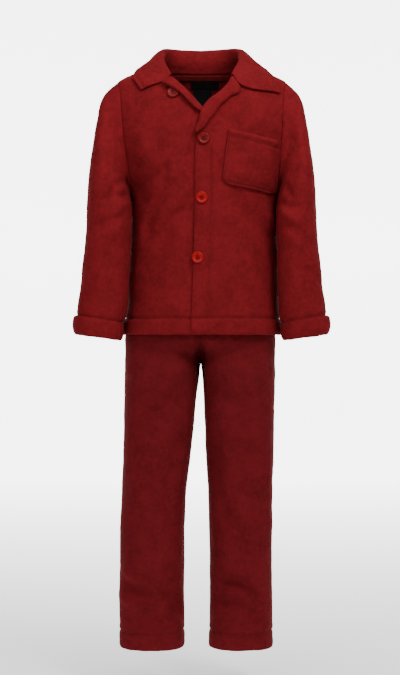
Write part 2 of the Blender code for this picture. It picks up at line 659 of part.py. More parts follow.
def make_collar(seam_outer, seam_inner, seam_up, finish):
    """Stations run along the neck seam from the right gorge, round the back, to the left gorge."""
    middle = (seam_outer + seam_inner) / 2 + seam_up * NECK_SEAM_GAP
    for end, inner_one in ((0, 1), (-1, -2)):
        middle[end] += unit(middle[inner_one] - middle[end]) * NECK_SEAM_GAP
    count = len(middle)
    run = np.concatenate([[0], np.cumsum(np.linalg.norm(np.diff(middle, axis=0), axis=1))])
    reach = np.abs(run / run[-1] * 2 - 1)
    side = np.sign(np.arange(count) - (count - 1) / 2)
    crest = np.stack([
        side * smooth(COLLAR_CREST, "x", "reach")(reach),
        smooth(COLLAR_CREST, "y", "reach")(reach),
        smooth(COLLAR_CREST, "z", "reach")(reach),
    ], axis=-1)
    level_run = np.gradient(crest, axis=0) * [1, 1, 0]
    outward = unit(np.stack([level_run[:, 1], -level_run[:, 0], np.zeros(count)], axis=-1))
    outward *= np.sign((outward * (crest * [1, 1, 0] - [0, 5, 0])).sum(axis=1, keepdims=True))
    rows = []
    for station in range(count):
        word = "left" if side[station] >= 0 else "right"
        angle = math.radians(float(smooth(LEAF_EDGE, word + "_angle", "reach")(reach[station])))
        height = float(smooth(LEAF_EDGE, word + "_height", "reach")(reach[station]))
        if side[station] < 0:
            angle = math.pi - angle
        edge = body_form(angle, height) + body_normal(angle, height) * (LEAF_GAP + COLLAR_CLOTH / 2)
        start, top = middle[station], crest[station]
        rise = np.linalg.norm(top - start)
        bend = min(CREST_ROUND, 0.55 * rise + 1.5)
        stand = bezier(
            (start, start + seam_up[station] * rise * 0.4, top - outward[station] * bend * 0.6, top),
            COLLAR_SHARES,
        )
        span = np.linalg.norm(edge - top)
        back_up = unit(top - edge) * span * 0.35
        sag = {
            name: float(smooth(LEAF_SAG, word + name, "reach")(reach[station]))
            for name in ("_out", "_down", "_far_in", "_far_down")
        }
        near_pull = np.array([side[station] * sag["_out"], 0.0, -sag["_down"]])
        far_pull = np.array([-side[station] * sag["_far_in"], 0.0, -sag["_far_down"]])
        leaf = bezier(
            (top, top + outward[station] * bend + near_pull, edge + back_up + far_pull, edge), LEAF_SHARES,
        )
        leaf = [clear_of_body(point, LEAF_GAP + COLLAR_CLOTH / 2) for point in leaf]
        rows.append(np.concatenate([stand, leaf]))
    path = np.array(rows)
    for end, inner_one in ((0, 1), (-1, -2)):
        step = unit(path[inner_one] - path[end])
        path[end, 1:] += step[1:] * COLLAR_END_GAP
    along = np.gradient(path, axis=0)
    around = np.gradient(path, axis=1)
    normal = unit(np.cross(around, along))
    face_out = normal[count // 2, -2]
    if face_out[1] < 0:
        normal = -normal
    seam_normal = unit(seam_outer - seam_inner)
    if (seam_normal[count // 2] * normal[count // 2, 0]).sum() < 0:
        seam_normal = -seam_normal
    normal[:, 0] = seam_normal
    for _ in range(NORMAL_ROUNDS):
        beside = (normal[:, :-2] + normal[:, 2:]) / 2
        normal[:, 1:-1] = unit(normal[:, 1:-1] + beside)
    thin_from, thin_to = COLLAR_THINNING
    thinning = ease((reach - thin_from) / (thin_to - thin_from))
    thick = COLLAR_CLOTH + (COLLAR_END_CLOTH - COLLAR_CLOTH) * thinning
    outer = path + normal * thick[:, None, None] / 2
    inner = path - normal * thick[:, None, None] / 2
    add_wall("collar", outer, inner, finish)


def neck_seam(front_left, front_right, back):
    """Top edge of the assembled panels from the right gorge round to the left gorge."""
    left_outer, left_inner = front_left
    right_outer, right_inner = front_right
    back_outer, back_inner = back

    def joined(row, right, rear, left):
        return np.concatenate([right[row, NECK_COLUMNS:0:-1], rear[row, ::-1], left[row, 1:NECK_COLUMNS + 1]])

    outer = joined(-1, right_outer, back_outer, left_outer)
    inner = joined(-1, right_inner, back_inner, left_inner)
    below = joined(-2, right_outer, back_outer, left_outer)
    seam = unit(np.gradient(outer, axis=0))
    normal = unit(outer - inner)
    up = unit(np.cross(seam, normal))
    up *= np.sign((up * (outer - below)).sum(axis=1, keepdims=True))
    return outer, inner, up


# ---- small pieces on the jacket ----
def make_pocket(finish):
    corners = np.array([POCKET_CORNERS["across"], POCKET_CORNERS["height"]], float).T
    top_left, top_right, low_right, low_left = corners
    shares = np.linspace(0, 1, POCKET_CELLS + 1)
    hem_share = POCKET_HEM / np.linalg.norm(top_left - low_left)
    turn = POCKET_ROUND / np.linalg.norm(low_right - low_left)
    middle = np.linspace(hem_share * 1.1, 1 - turn, POCKET_CELLS - 2)
    downs = np.concatenate([[0, hem_share * 0.9], middle, 1 - turn * np.array(POCKET_CORNER_ROWS)])
    grid = np.zeros((len(downs), len(shares), 2))
    size = np.linalg.norm(low_right - low_left)
    for i, down in enumerate(downs):
        for j, share in enumerate(shares):
            from_left = top_left + (low_left - top_left) * down
            from_right = top_right + (low_right - top_right) * down
            # The lower corners are cut round.
            below = max(0.0, down * size - (size - POCKET_ROUND)) / POCKET_ROUND
            draw_in = POCKET_ROUND * (1 - math.sqrt(max(0.0, 1 - min(1.0, below) ** 2))) / size
            across = draw_in + share * (1 - 2 * draw_in)
            grid[i, j] = from_left + (from_right - from_left) * across
    laid, normal = front_place(grid[..., 0], grid[..., 1])
    thick = np.where(downs < hem_share, HEM_CLOTH, CLOTH)[:, None, None]
    inner = laid + normal * POCKET_GAP
    outer = inner + normal * thick
    add_wall("chest_pocket", outer, inner, finish)


def inside_strip(name, angles, levels, thick, finish):
    """A strip that lies on the inner face of the back panel."""
    angle, height = np.broadcast_arrays(angles, levels)
    base, normal = body_cloth(angle, height)
    outer = base - normal * (CLOTH + LAID_GAP)
    add_wall(name, outer, outer - normal * thick, finish)


def levels_down(top, depth, rows):
    """A column of heights from the top edge of a strip to its lower edge."""
    return np.linspace(top, top - depth, rows + 1)[:, None]


def back_angles(place, width, levels, columns):
    """Plan angles, level by level, that span a width about a place on the back."""
    across = place + np.linspace(-width / 2, width / 2, columns + 1)
    share = (across - body_centre(levels)) / body_half(levels)
    return -np.arccos(np.sign(share) * np.abs(share) ** (PLAN_POWER / 2))


def make_neck_trim(tape_finish, label_finish):
    columns, rows = TAPE_CELLS
    angles = np.radians(np.linspace(*TAPE_ANGLES, columns + 1))
    inside_strip("neck_tape", angles, levels_down(TAPE_TOP, TAPE_DEPTH, rows), TAPE_CLOTH, tape_finish)
    columns, rows = LABEL_CELLS
    levels = levels_down(LABEL_TOP, LABEL_DEPTH, rows)
    angles = back_angles(LABEL_PLACE, LABEL_WIDTH, levels, columns)
    inside_strip("neck_label", angles, levels, LABEL_CLOTH, label_finish)
    columns, rows = CARE_CELLS
    levels = levels_down(CARE_TOP, CARE_DEPTH, rows)
    angles = back_angles(CARE_PLACE, CARE_WIDTH, levels, columns)
    inside_strip("care_label", angles, levels, LABEL_CLOTH, label_finish)


def make_button(name, across, height, finish):
    laid, normal = front_place(np.array(across), np.array(height))
    profile = (
        # radius, rise
        (BUTTON_RADIUS - BUTTON_EDGE, 0.0),
        (BUTTON_RADIUS, BUTTON_EDGE),
        (BUTTON_RADIUS, BUTTON_THICK - BUTTON_EDGE),
        (BUTTON_RADIUS - BUTTON_EDGE, BUTTON_THICK),
        (BUTTON_RADIUS - BUTTON_RIM, BUTTON_THICK - BUTTON_DISH),
    )
    work = bmesh.new()
    loops = []
    for radius, rise in profile:
        loop = []
        for side in range(BUTTON_SIDES):
            turn = 2 * math.pi * side / BUTTON_SIDES
            place = Vector((radius * math.cos(turn), radius * math.sin(turn), rise))
            loop.append(work.verts.new(place * MM))
        loops.append(loop)
    for lower, upper in zip(loops, loops[1:]):
        for side in range(BUTTON_SIDES):
            after = (side + 1) % BUTTON_SIDES
            work.faces.new((lower[side], lower[after], upper[after], upper[side]))
    work.faces.new(list(reversed(loops[0])))
    work.faces.new(loops[-1])
    bmesh.ops.recalc_face_normals(work, faces=work.faces)
    piece = add_object(name, work, finish)
    across_axis = unit(np.cross([0.0, 0.0, 1.0], normal))
    up_axis = np.cross(normal, across_axis)
    origin = (laid + normal * BUTTON_GAP) * MM
    for vertex in piece.data.vertices:
        local = np.array(vertex.co)
        vertex.co = origin + across_axis * local[0] + up_axis * local[1] + normal * local[2]
    cutter = add_hole_cutter(name + "_holes", origin, across_axis, up_axis, normal)
    cut = piece.modifiers.new("thread_holes", "BOOLEAN")
    cut.operation = "DIFFERENCE"
    cut.solver = "EXACT"
    cut.object = cutter


def add_hole_cutter(name, origin, across_axis, up_axis, normal):
    """Four thread holes through a button, as one cutter."""
    work = bmesh.new()
    sides = BUTTON_HOLE_SIDES
    for quarter in range(4):
        turn = math.pi / 4 + quarter * math.pi / 2
        middle = np.array([math.cos(turn), math.sin(turn)]) * BUTTON_HOLE_PLACE
        rings = []
        for rise in (-BUTTON_THICK, 2 * BUTTON_THICK):
            ring = []
            for side in range(sides):
                spoke = 2 * math.pi * side / sides
                local = middle + BUTTON_HOLE_RADIUS * np.array([math.cos(spoke), math.sin(spoke)])
                place = origin + (across_axis * local[0] + up_axis * local[1] + normal * rise) * MM
                ring.append(work.verts.new(place))
            rings.append(ring)
        for side in range(sides):
            after = (side + 1) % sides
            work.faces.new((rings[0][side], rings[0][after], rings[1][after], rings[1][side]))
        work.faces.new(list(reversed(rings[0])))
        work.faces.new(rings[1])
    bmesh.ops.recalc_face_normals(work, faces=work.faces)
    mesh = bpy.data.meshes.new(name)
    work.to_mesh(mesh)
    work.free()
    cutter = bpy.data.objects.new(name, mesh)
    bpy.context.scene.collection.objects.link(cutter)
    cutter.hide_render = True
    cutter.display_type = "WIRE"
    return cutter


# ---- trousers ----
leg_front = smooth(LEG, "front")
leg_back = smooth(LEG, "back")
hip_half = smooth(HIP, "half")
hip_front = smooth(HIP, "front")
hip_back = smooth(HIP, "back")


def trouser_form(side, share, height):
    """Outer face of one leg and its half of the hips. Share 0 is the side seam, 1 the inseam or
    centre front seam, -1 the inseam or centre back seam."""
    share, height = np.broadcast_arrays(np.asarray(share, float), np.asarray(height, float))
    word = "left" if side > 0 else "right"
    facing = np.sign(share)
    turn = math.pi * np.abs(share)
    low = np.minimum(height, CROTCH)
    depth = np.where(facing >= 0, leg_front(low), leg_back(low))
    leg_half = smooth(LEG, word + "_half")(low) * squared(np.cos(turn))
    leg_x = side * (smooth(LEG, word + "_centre")(low) + leg_half)
    leg_y = -facing * depth * squared(np.abs(np.sin(turn)))
    high = np.maximum(height, CROTCH)
    hip_depth = np.where(facing >= 0, hip_front(high), hip_back(high))
    hip_x = HIP_CENTRE + side * hip_half(high) * squared(np.cos(turn / 2))
    hip_y = -facing * hip_depth * squared(np.abs(np.sin(turn / 2)))
    blend = ease((height - CROTCH) / CROTCH_RISE)
    return np.stack([leg_x + (hip_x - leg_x) * blend, leg_y + (hip_y - leg_y) * blend, height], axis=-1)


def trouser_cloth(side, share, height):
    base = trouser_form(side, share, height)
    share, height = np.broadcast_arrays(np.asarray(share, float), np.asarray(height, float))
    around = trouser_form(side, share + SHARE_STEP, height) - trouser_form(side, share - SHARE_STEP, height)
    up = trouser_form(side, share, height + HEIGHT_STEP) - trouser_form(side, share, height - HEIGHT_STEP)
    normal = unit(np.cross(around, up)) * -side
    # At the seams between the two halves the cloth faces straight out of the seam's plane.
    at_seam = np.abs(share) > 0.999
    above = height > CROTCH + 0.5
    seam_normal = normal * [0, 1, 1]
    normal = np.where((at_seam & above)[..., None], unit(seam_normal), normal)
    inseam = at_seam & ~above
    normal = np.where(inseam[..., None], np.array([-side, 0.0, 0.0]), normal)
    folds = [row[1:] for row in LEG_FOLDS if row[0] == side]
    facing = np.where(share >= 0, 1.0, BACK_FOLD_SHARE)
    rise = spread_of_folds(folds, base[..., 0], base[..., 2]) * facing
    rise = rise * ease(np.abs(share) / LEG_SEAM_EASE) * ease((1 - np.abs(share)) / LEG_SEAM_EASE)
    return base + normal * rise[..., None], normal


def trouser_wall(height):
    hem = ease((LEG_HEM + LEG_HEM_DEPTH - height) / HEM_EASE)
    casing = ease((height - WAIST + WAIST_CASING) / HEM_EASE)
    turned = hem + casing
    return CLOTH + (HEM_CLOTH - CLOTH) * turned


def make_trouser_panel(name, side, facing, finish):
    shares = np.linspace(0, 1, LEG_COLUMNS + 1) * facing
    share, height = np.meshgrid(shares, np.array(LEG_ROWS, float))
    outer, normal = trouser_cloth(side, share, height)
    inner = outer - normal * trouser_wall(height)[..., None]
    middle = outer[:, -1, 0].copy()
    above = np.array(LEG_ROWS) > CROTCH + 0.5
    for grid in (outer, inner):
        grid[:, 0, 1] -= facing * SEAM_GAP / 2
        grid[~above, -1, 1] -= facing * SEAM_GAP / 2
        grid[above, -1, 0] = middle[above] + side * SEAM_GAP / 2
        grid[above, -1, 1] -= facing * SEAM_GAP / 2 * (height[above, 0] < CROTCH + 8)
    add_wall(name, outer, inner, finish)


def main():
    for piece in list(bpy.data.objects):
        bpy.data.objects.remove(piece, do_unlink=True)
    jacket_fleece = ((0.29, 0.012, 0.012), 0.9)
    trouser_fleece = ((0.17, 0.008, 0.008), 0.9)
    tape_cloth = ((0.22, 0.01, 0.01), 0.85)
    label_cloth = ((0.012, 0.012, 0.012), 0.7)
    button_plastic = ((0.6, 0.02, 0.02), 0.35)
    left = make_front("jacket_front_left", 1, UPPER_EDGE, UPPER_ROLL, UPPER_LAPEL, UPPER_LAPEL_GAP,
                      jacket_fleece)[1:]
    right = make_front("jacket_front_right", -1, UNDER_EDGE, UNDER_ROLL, UNDER_LAPEL, UNDER_LAPEL_GAP,
                       jacket_fleece)[1:]
    back = make_back(jacket_fleece)
    armhole = slice(len(SIDE_ROWS), len(SIDE_ROWS) + len(ARMHOLE["height"]))
    front_edges = {1: [grid[armhole, 0] for grid in left], -1: [grid[armhole, 0] for grid in right]}
    back_edges = {1: [grid[armhole, 0] for grid in back], -1: [grid[armhole, -1] for grid in back]}
    make_sleeve("sleeve_left", 1, front_edges[1], back_edges[1], "gap_left", jacket_fleece)
    make_sleeve("sleeve_right", -1, front_edges[-1], back_edges[-1], "gap_right", jacket_fleece)
    make_collar(*neck_seam(left, right, back), jacket_fleece)
    make_pocket(jacket_fleece)
    make_neck_trim(tape_cloth, label_cloth)
    for name, across, height in BUTTONS:
        make_button(name, across, height, button_plastic)
    for word, side in (("right", -1), ("left", 1)):
        make_trouser_panel("trouser_front_" + word, side, 1, trouser_fleece)
        make_trouser_panel("trouser_back_" + word, side, -1, trouser_fleece)


main()
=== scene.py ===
"""Looks of a child's two-piece button-front pyjama set in plush fleece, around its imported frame.

Shapes are worked out in millimetres and turn into metres when a mesh is made. The front faces -Y and
the wearer's left is at +X. The body, sleeves, collar and legs repeat the forms of the solids, finer.
"""
import math

import bmesh
import bpy
import numpy as np
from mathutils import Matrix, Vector
from mathutils.bvhtree import BVHTree


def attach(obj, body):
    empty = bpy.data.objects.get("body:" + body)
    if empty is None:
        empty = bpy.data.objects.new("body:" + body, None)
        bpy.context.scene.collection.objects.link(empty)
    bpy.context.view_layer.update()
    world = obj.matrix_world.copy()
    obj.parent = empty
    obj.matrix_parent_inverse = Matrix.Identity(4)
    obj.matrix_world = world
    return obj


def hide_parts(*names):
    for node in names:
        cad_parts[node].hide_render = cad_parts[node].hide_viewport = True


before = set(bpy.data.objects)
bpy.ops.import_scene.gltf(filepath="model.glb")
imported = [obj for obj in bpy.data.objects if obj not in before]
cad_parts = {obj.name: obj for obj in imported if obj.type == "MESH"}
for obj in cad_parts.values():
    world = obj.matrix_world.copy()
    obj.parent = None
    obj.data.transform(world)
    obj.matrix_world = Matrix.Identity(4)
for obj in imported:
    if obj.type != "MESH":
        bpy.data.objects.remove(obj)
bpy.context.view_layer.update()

MM = 0.001
CELL = 3.0            # size of a mesh cell on the cloth

# ---- cloth ----
CLOTH = 3.0
HEM_CLOTH = 3.6
COLLAR_CLOTH = 4.0
COLLAR_END_CLOTH = 2.4
SEAM_GAP = 0.3
ARMHOLE_GAP = 0.45
NECK_SEAM_GAP = 0.5
LAID_GAP = 0.6
PLAN_POWER = 2.3
SEAM_CLOSE = 0.2      # how far a rounded edge reaches past its seam line, so that seams are closed
STITCH_PITCH = 3.2    # sewing: stitches 2.5 mm long, of thread 0.7 mm thick where the pile swells it
STITCH_LENGTH = 2.5
THREAD = 0.7
STITCH_LIFT = 0.15    # height of a stitch's middle above the cloth
CREASE_DEPTH = 1.75   # the creases below are drawn this much deeper, as the pile swells them
CREASE_END = 1.4      # length over which a crease dies out, as a share of its half-width
CREASE_SIDE = 0.45    # sine of the plan angle below which the body's creases fade out to its side seams
LAYER_PLUMP = 0.9     # swelling of two layers between their seams
EDGE_ROUND = 0.8      # depth of a rounded edge, as a share of half the cloth's thickness
SEW_REACH = 7.0       # how far from the cloth a line of stitches is looked for
SEW_TURN = 0.8        # degrees between the places along a jacket hem's stitching
SEW_PLACES = 110      # places along one leg hem's stitching
# Hems: how far the cloth swells, how deep the stitching pulls it in and over what half-width.
JACKET_SEWING = (1.4, 2.5, 2.2)
PLACKET_SEWING = (1.1, 1.9, 2.0)
POCKET_SEWING = (1.4, 1.9, 2.0)
LEG_SEWING = (0.7, 1.8, 2.2)
SWELL_RISE = 0.5      # the low ridge beyond the stitching, its place and half-width
SWELL_PLACE = 5.5
SWELL_WIDTH = 3.0
HEM_ROUND = 6.0       # distance over which a hem rounds off at its edges
PILE_LUMPS = ((26.0, 0.55), (11.0, 0.35), (6.5, 0.22))   # size and height of the pile's unevenness
# The unevenness' own random numbers: a step for each seed, a weight for each axis, and their spread.
SEED_STEP = 17.3
LATTICE = (127.1, 311.7, 74.7)
LATTICE_SPREAD = 43758.5453

# ---- jacket ----
JACKET_HEM = -412.0
HEM_DEPTH = 27.0      # jacket, cuff and leg hems, edge to stitching
HEM_EASE = 8.0
ARMPIT = -195.0
SHOULDER_TIP = 4.0
NECK_SIDE = 35.0
NECK_BACK = 28.0
LAPEL_FOOT = -90.0
OVERLAP_EASE = 12.0
OVERLAP_START = -18.0
OVERLAP_SHIFT = 5.0   # how much further left the covered part starts above the lapel's foot,
OVERLAP_RISE = 40.0   # and the height over which it gets there
LAPEL_LIFT = 4.6
LAPEL_ARCH = (20, 180, 9)      # degrees turned over the roll line, from, to and in how many rows
LAPEL_FLAT = (0.1, 1, 11)      # shares of its width where it lies back over the front
UPPER_LAPEL_GAP = 1.4
UNDER_LAPEL_GAP = 4.2
BODY = dict(
    height=(-412, -395, -380, -330, -272, -225, -195, -150, -110, -60, -20, 4, 13, 21, 29, 35),
    half_width=(130.6, 130.6, 127.6, 124.5, 122, 119.8, 119, 137, 150, 156, 151, 138, 121, 105, 86, 70),
    centre=(0.8, 1.0, 2.2, 3.0, 3.8, 4.4, 4.5, 3.6, 2.6, 1.4, 0.8, 0.4, 0.2, 0, 0, 0),
    front=(95, 95, 94, 92, 90, 91, 92, 93, 92, 86, 74, 61, 53, 47, 40, 35),
    back=(92, 92, 91, 88, 84, 84, 87, 91, 92, 90, 84, 76, 71, 66, 61, 57),
)
ARMHOLE = dict(
    height=(-195, -190, -178, -158, -135, -110, -84, -58, -34, -15, -3, 4),
    half_width=(119, 118.6, 118.8, 120.5, 123, 126, 128.5, 130.2, 132, 134, 136.5, 138),
)
FRONT_COLUMNS = 56
NECK_COLUMNS = 20     # of them, those that meet the collar
EVEN_ROUNDS = 120     # times that the places of a front's cells are evened out
BACK_COLUMNS = 96
UPPER_EDGE = dict(height=(-412, -300, -200, -103, -90), across=(-17.5, -13.5, -11.0, -8.8, -7.0))
UNDER_EDGE = dict(height=(-412, -300, -200, -103, -62), across=(4.5, 8.0, 10.5, 12.0, 12.0))
PLACKET_WIDTH = 26.0  # free edge to the stitching of the facing
FACING_TOP = 14.0     # how far below the lapel's foot that stitching ends
FACING_LOW = 0.35     # share of its relief that is left on the hem
CORNER_ROUND = 7.0    # rounding of the fronts' lower corners
NECK_SEAM = dict(across=(70, 68.5, 65, 59, 51.5), height=(35, 27, 18.5, 9, -1))
UPPER_ROLL = dict(
    across=(51.5, 44, 30, 17, 7.5, 2.5, -1.5, -7),
    height=(-1, -14.5, -29, -39, -50, -62, -76, -90),
)
UNDER_ROLL = dict(
    across=(51.5, 38, 25, 12, 2, -6, -14),
    height=(-1, -13, -26, -40, -51, -58, -64),
)
# Lapel width along the roll line, as a share of the line from the gorge.
UPPER_LAPEL = dict(
    share=(0, 0.125, 0.25, 0.375, 0.5, 0.625, 0.75, 0.875, 1),
    width=(2, 19, 13.5, 13.5, 15.5, 17, 14, 9, 2),
)
UNDER_LAPEL = dict(
    share=(0, 0.125, 0.25, 0.375, 0.5, 0.625, 0.75, 0.88),
    width=(15, 12, 9, 7.5, 7.5, 7, 5, 1),
)

# Creases and puffs of the jacket seen from the front: soft troughs (-) and ridges (+).
FRONT_CREASES = (
    # from across, height, to across, height, bow, half-width, rise
    (-36, -190, -68, -238, 0, 10, 3.2),
    (-42, -150, -72, -206, 0, 12, 2.4),
    (-58, -170, -84, -232, 0, 9, -2.0),
    (64, -202, 104, -248, 0, 13, -3.2),
    (40, -225, 80, -300, 0, 15, 2.2),
    (-104, -176, -62, -150, 0, 9, -2.2),
    (-34, -215, -60, -246, 4, 5, -1.8),
    (-52, -196, -76, -226, -4, 5, 1.5),
    (-24, -168, -40, -196, 3, 6, -1.3),
    (-86, -214, -98, -262, 4, 8, 1.8),
    (-62, -262, -92, -300, -6, 11, -1.6),
    (-28, -262, -52, -330, 6, 12, 1.4),
    (-74, -330, -104, -352, 5, 9, -1.3),
    (-108, -140, -92, -196, 5, 8, -1.7),
    (-96, -96, -70, -140, 6, 13, 1.5),
    (34, -205, 52, -262, 5, 8, -1.5),
    (54, -250, 96, -292, -6, 9, -1.5),
    (78, -232, 112, -262, 4, 6, 1.5),
    (26, -300, 44, -356, 5, 10, -1.3),
    (70, -320, 102, -356, -6, 11, 1.4),
    (104, -196, 118, -232, 4, 7, 1.7),
    (30, -66, 62, -80, -4, 9, -1.4),
    (84, -40, 112, -74, 6, 12, 1.5),
    (-22, -78, -52, -104, 4, 11, 1.4),
    (-14, -106, -20, -140, 3, 7, -1.1),
)
BACK_CREASES = (
    (-96, -180, -40, -150, 0, 12, -2.6),
    (98, -184, 44, -160, 0, 12, -2.4),
    (-60, -250, 10, -290, 0, 16, 2.2),
    (70, -240, 20, -320, 0, 15, -2.4),
    (-88, -206, -46, -190, 5, 8, 1.8),
    (90, -214, 52, -196, -5, 7, 1.7),
    (-30, -120, -14, -196, 8, 14, 1.4),
    (40, -110, 26, -186, -8, 13, -1.4),
    (-98, -262, -66, -318, 7, 10, -1.7),
    (-40, -312, -72, -356, 6, 9, 1.4),
    (96, -280, 62, -340, -7, 11, 1.7),
    (30, -340, -6, -366, 5, 9, -1.4),
    (-70, -60, -30, -76, -6, 13, -1.3),
    (72, -56, 34, -80, 6, 13, 1.3),
)

# ---- sleeves ----
SLEEVE = dict(
    ring=tuple(range(17)),
    outer_x=(149, 159.5, 166.5, 171, 175.5, 180, 183.5, 185.5, 186.5, 189, 193, 195.5, 200, 201.5, 205.5,
             207.5, 204),
    outer_z=(-5, -17, -34, -60, -92, -130, -165, -200, -235, -268, -300, -334, -360, -377, -383, -398, -412),
    inner_z=(-191, -189.8, -191.5, -197, -207, -221, -238, -257, -277, -298, -320, -345, -368, -389, -395,
             -410, -421.5),
    gap=(1.3, 1.5, 0.6, -0.6, -1.8, -2.7, -3.4, -3.8, -4.0, -4.4, -4.4, -4.4, -4.2, -3.6, -3.0, -2.4, 0.5),
    half_depth=(57, 56.5, 56, 55, 54, 52.5, 51, 49.5, 48, 46.5, 45, 43.5, 42, 41, 42, 42.3, 41.5),
    armhole_share=(0.9, 0.75, 0.55, 0.35, 0.15, 0, 0, 0, 0, 0, 0, 0, 0, 0, 0, 0, 0),
)
SLEEVE_FORWARD = 50.0 # how far the arm hangs in front of the armhole
FORWARD_RINGS = 7     # rings over which it moves forward
CUFF_RING = 13.3      # ring of the stitching above the cuff
# Cells to each ring from the one above.
RING_STEPS = (5, 5, 6, 8, 10, 12, 12, 12, 12, 11, 11, 11, 9, 6, 3, 5, 3)
SLEEVE_CREASES = {
    # side: seen from the front, and on the back of the sleeve where the last value is -1
    -1: (
        (-122, -166, -140, -182, 3, 8, -3.0, 1),
        (-124, -190, -150, -196, 4, 7, -2.6, 1),
        (-128, -206, -152, -224, -4, 8, 2.2, 1),
        (-134, -226, -160, -236, 4, 8, -1.8, 1),
        (-150, -250, -176, -286, 6, 10, 2.0, 1),
        (-158, -292, -186, -308, 5, 8, -1.7, 1),
        (-162, -318, -190, -346, -6, 9, 1.6, 1),
        (-150, -90, -140, -150, 6, 11, -1.8, 1),
        (-160, -120, -166, -176, -6, 10, 1.6, 1),
        (-140, -180, -168, -214, 6, 10, -2.4, -1),
        (-150, -230, -176, -252, -6, 9, 2.0, -1),
        (-154, -270, -184, -290, 5, 9, -2.0, -1),
        (-160, -320, -188, -336, 5, 9, 1.7, -1),
    ),
    1: (
        (124, -168, 138, -188, -3, 8, -2.8, 1),
        (126, -200, 150, -208, 4, 7, -2.2, 1),
        (130, -214, 152, -234, 4, 8, 2.2, 1),
        (140, -240, 168, -262, -5, 9, -1.8, 1),
        (146, -262, 172, -300, -6, 10, 1.9, 1),
        (160, -310, 188, -326, -5, 8, -1.7, 1),
        (150, -100, 144, -160, -6, 11, -1.8, 1),
        (162, -130, 168, -186, 6, 10, 1.6, 1),
        (142, -186, 170, -216, -6, 10, -2.4, -1),
        (150, -236, 178, -262, 6, 9, 2.0, -1),
        (156, -282, 184, -296, -5, 9, -2.0, -1),
        (162, -328, 190, -346, 5, 9, 1.7, -1),
    ),
}

# ---- collar ----
COLLAR_CREST = dict(
    reach=(0, 0.18, 0.35, 0.48, 0.59, 0.70, 0.80, 0.90, 1.0),
    x=(0, 28, 49.5, 62, 66, 64.5, 60.5, 55.5, 49.5),
    y=(66, 62, 47, 24, 2, -19, -36.5, -51, -63.5),
    z=(66.5, 66.5, 65.5, 61, 52, 40.5, 28.5, 17, 5.5),
)
LEAF_EDGE = dict(
    reach=(0, 0.18, 0.37, 0.50, 0.60, 0.72, 0.86, 1.0),
    left_angle=(-90, -68, -46, -22, 0, 26, 38, 36.5),
    left_height=(22, 20, 18, 21, 26, 13.5, -5, -23.5),
    right_angle=(-90, -68, -46, -22, 0, 28, 46, 53.5),
    right_height=(22, 20, 18, 21, 26, 13.5, -4.5, -20.5),
)
LEAF_SAG = dict(
    reach=(0, 0.7, 0.86, 1.0),
    left_out=(0, 0, 2, 6),
    left_down=(0, 0, 8, 31),
    left_far_in=(0, 0, 6, 26),
    left_far_down=(0, 0, 4, 15),
    right_out=(0, 0, 0, 0),
    right_down=(0, 0, 4, 17),
    right_far_in=(0, 0, 1, 5.4),
    right_far_down=(0, 0, 0, -2),
)
COLLAR_STATIONS = 31
COLLAR_END_GAP = 1.7
COLLAR_STITCH = 6.5   # edge to its stitching
COLLAR_DIP = 0.7
CLEARING_STEPS = 4
CLEAR_ENOUGH = 0.05
LEAF_GAP = 1.1
CREST_ROUND = 8.0
NORMAL_ROUNDS = 2
STAND_SHARES = (0.0, 0.4, 0.72, 1.0)
LEAF_SHARES = (0.17, 0.34, 0.53, 0.72, 0.88, 1.0)

# ---- pocket, tape and labels ----
POCKET_CORNERS = dict(across=(43, 121, 120, 31.5), height=(-84, -100, -186, -171))
POCKET_ROUND = 13.0
POCKET_HEM = 12.0
POCKET_COLUMNS = 30
POCKET_GAP = 0.8
POCKET_PUFF = 2.2
POCKET_STITCH = 3.5   # edge to its stitching
POCKET_DIP = 1.3
POCKET_LIFT = 0.6
POCKET_ROWS = 30
TAPE_ANGLES = (-150, -30)
TAPE_TOP = 26.5
TAPE_DEPTH = 7.5
TAPE_CLOTH = 1.2
LABEL_CLOTH = 0.7
LABELS = (
    # name, across, width, top, depth, columns and rows of its mesh
    ("neck_label", 6.0, 47.0, 18.0, 12.5, 24, 8),
    ("care_label", 2.0, 31.0, 4.0, 46.0, 16, 24),
)

# ---- buttons ----
BUTTON_THICK = 3.4
BUTTON_SIDES = 48
BUTTON_GAP = 0.45
HOLE_RADIUS = 1.15
HOLE_PLACE = 2.5
HOLE_SIDES = 14
HOLE_PAST = 2.0       # how far the cutters reach past the button
SHARP_TURN = 40       # degrees between faces that meet in a sharp edge
STRANDS = (-0.55, 0.0, 0.55)   # places of a pair of holes' threads, side by side
STRAND_RADIUS = 0.294
THREAD_SUNK = 1.2     # how far below the dish a thread starts, and how high it arches from there
THREAD_ARCH = 1.75
BUTTON_PROFILE = (
    # radius, rise
    (7.6, 0.0), (8.5, 0.15), (9.1, 0.7), (9.3, 1.5), (9.25, 2.2), (9.0, 2.85), (8.5, 3.3), (7.9, 3.4),
    (7.2, 3.3), (6.5, 2.95), (5.9, 2.6), (5.1, 2.42), (4.6, 2.38),
)
BUTTONS = (
    # name, across, height, turn of the holes in degrees
    ("button_1", 3.6, -99.5, 8),
    ("button_2", 0.2, -193.5, 40),
    ("button_3", -6.4, -289.0, 3),
    ("button_top", -45.5, -24.5, 20),
)

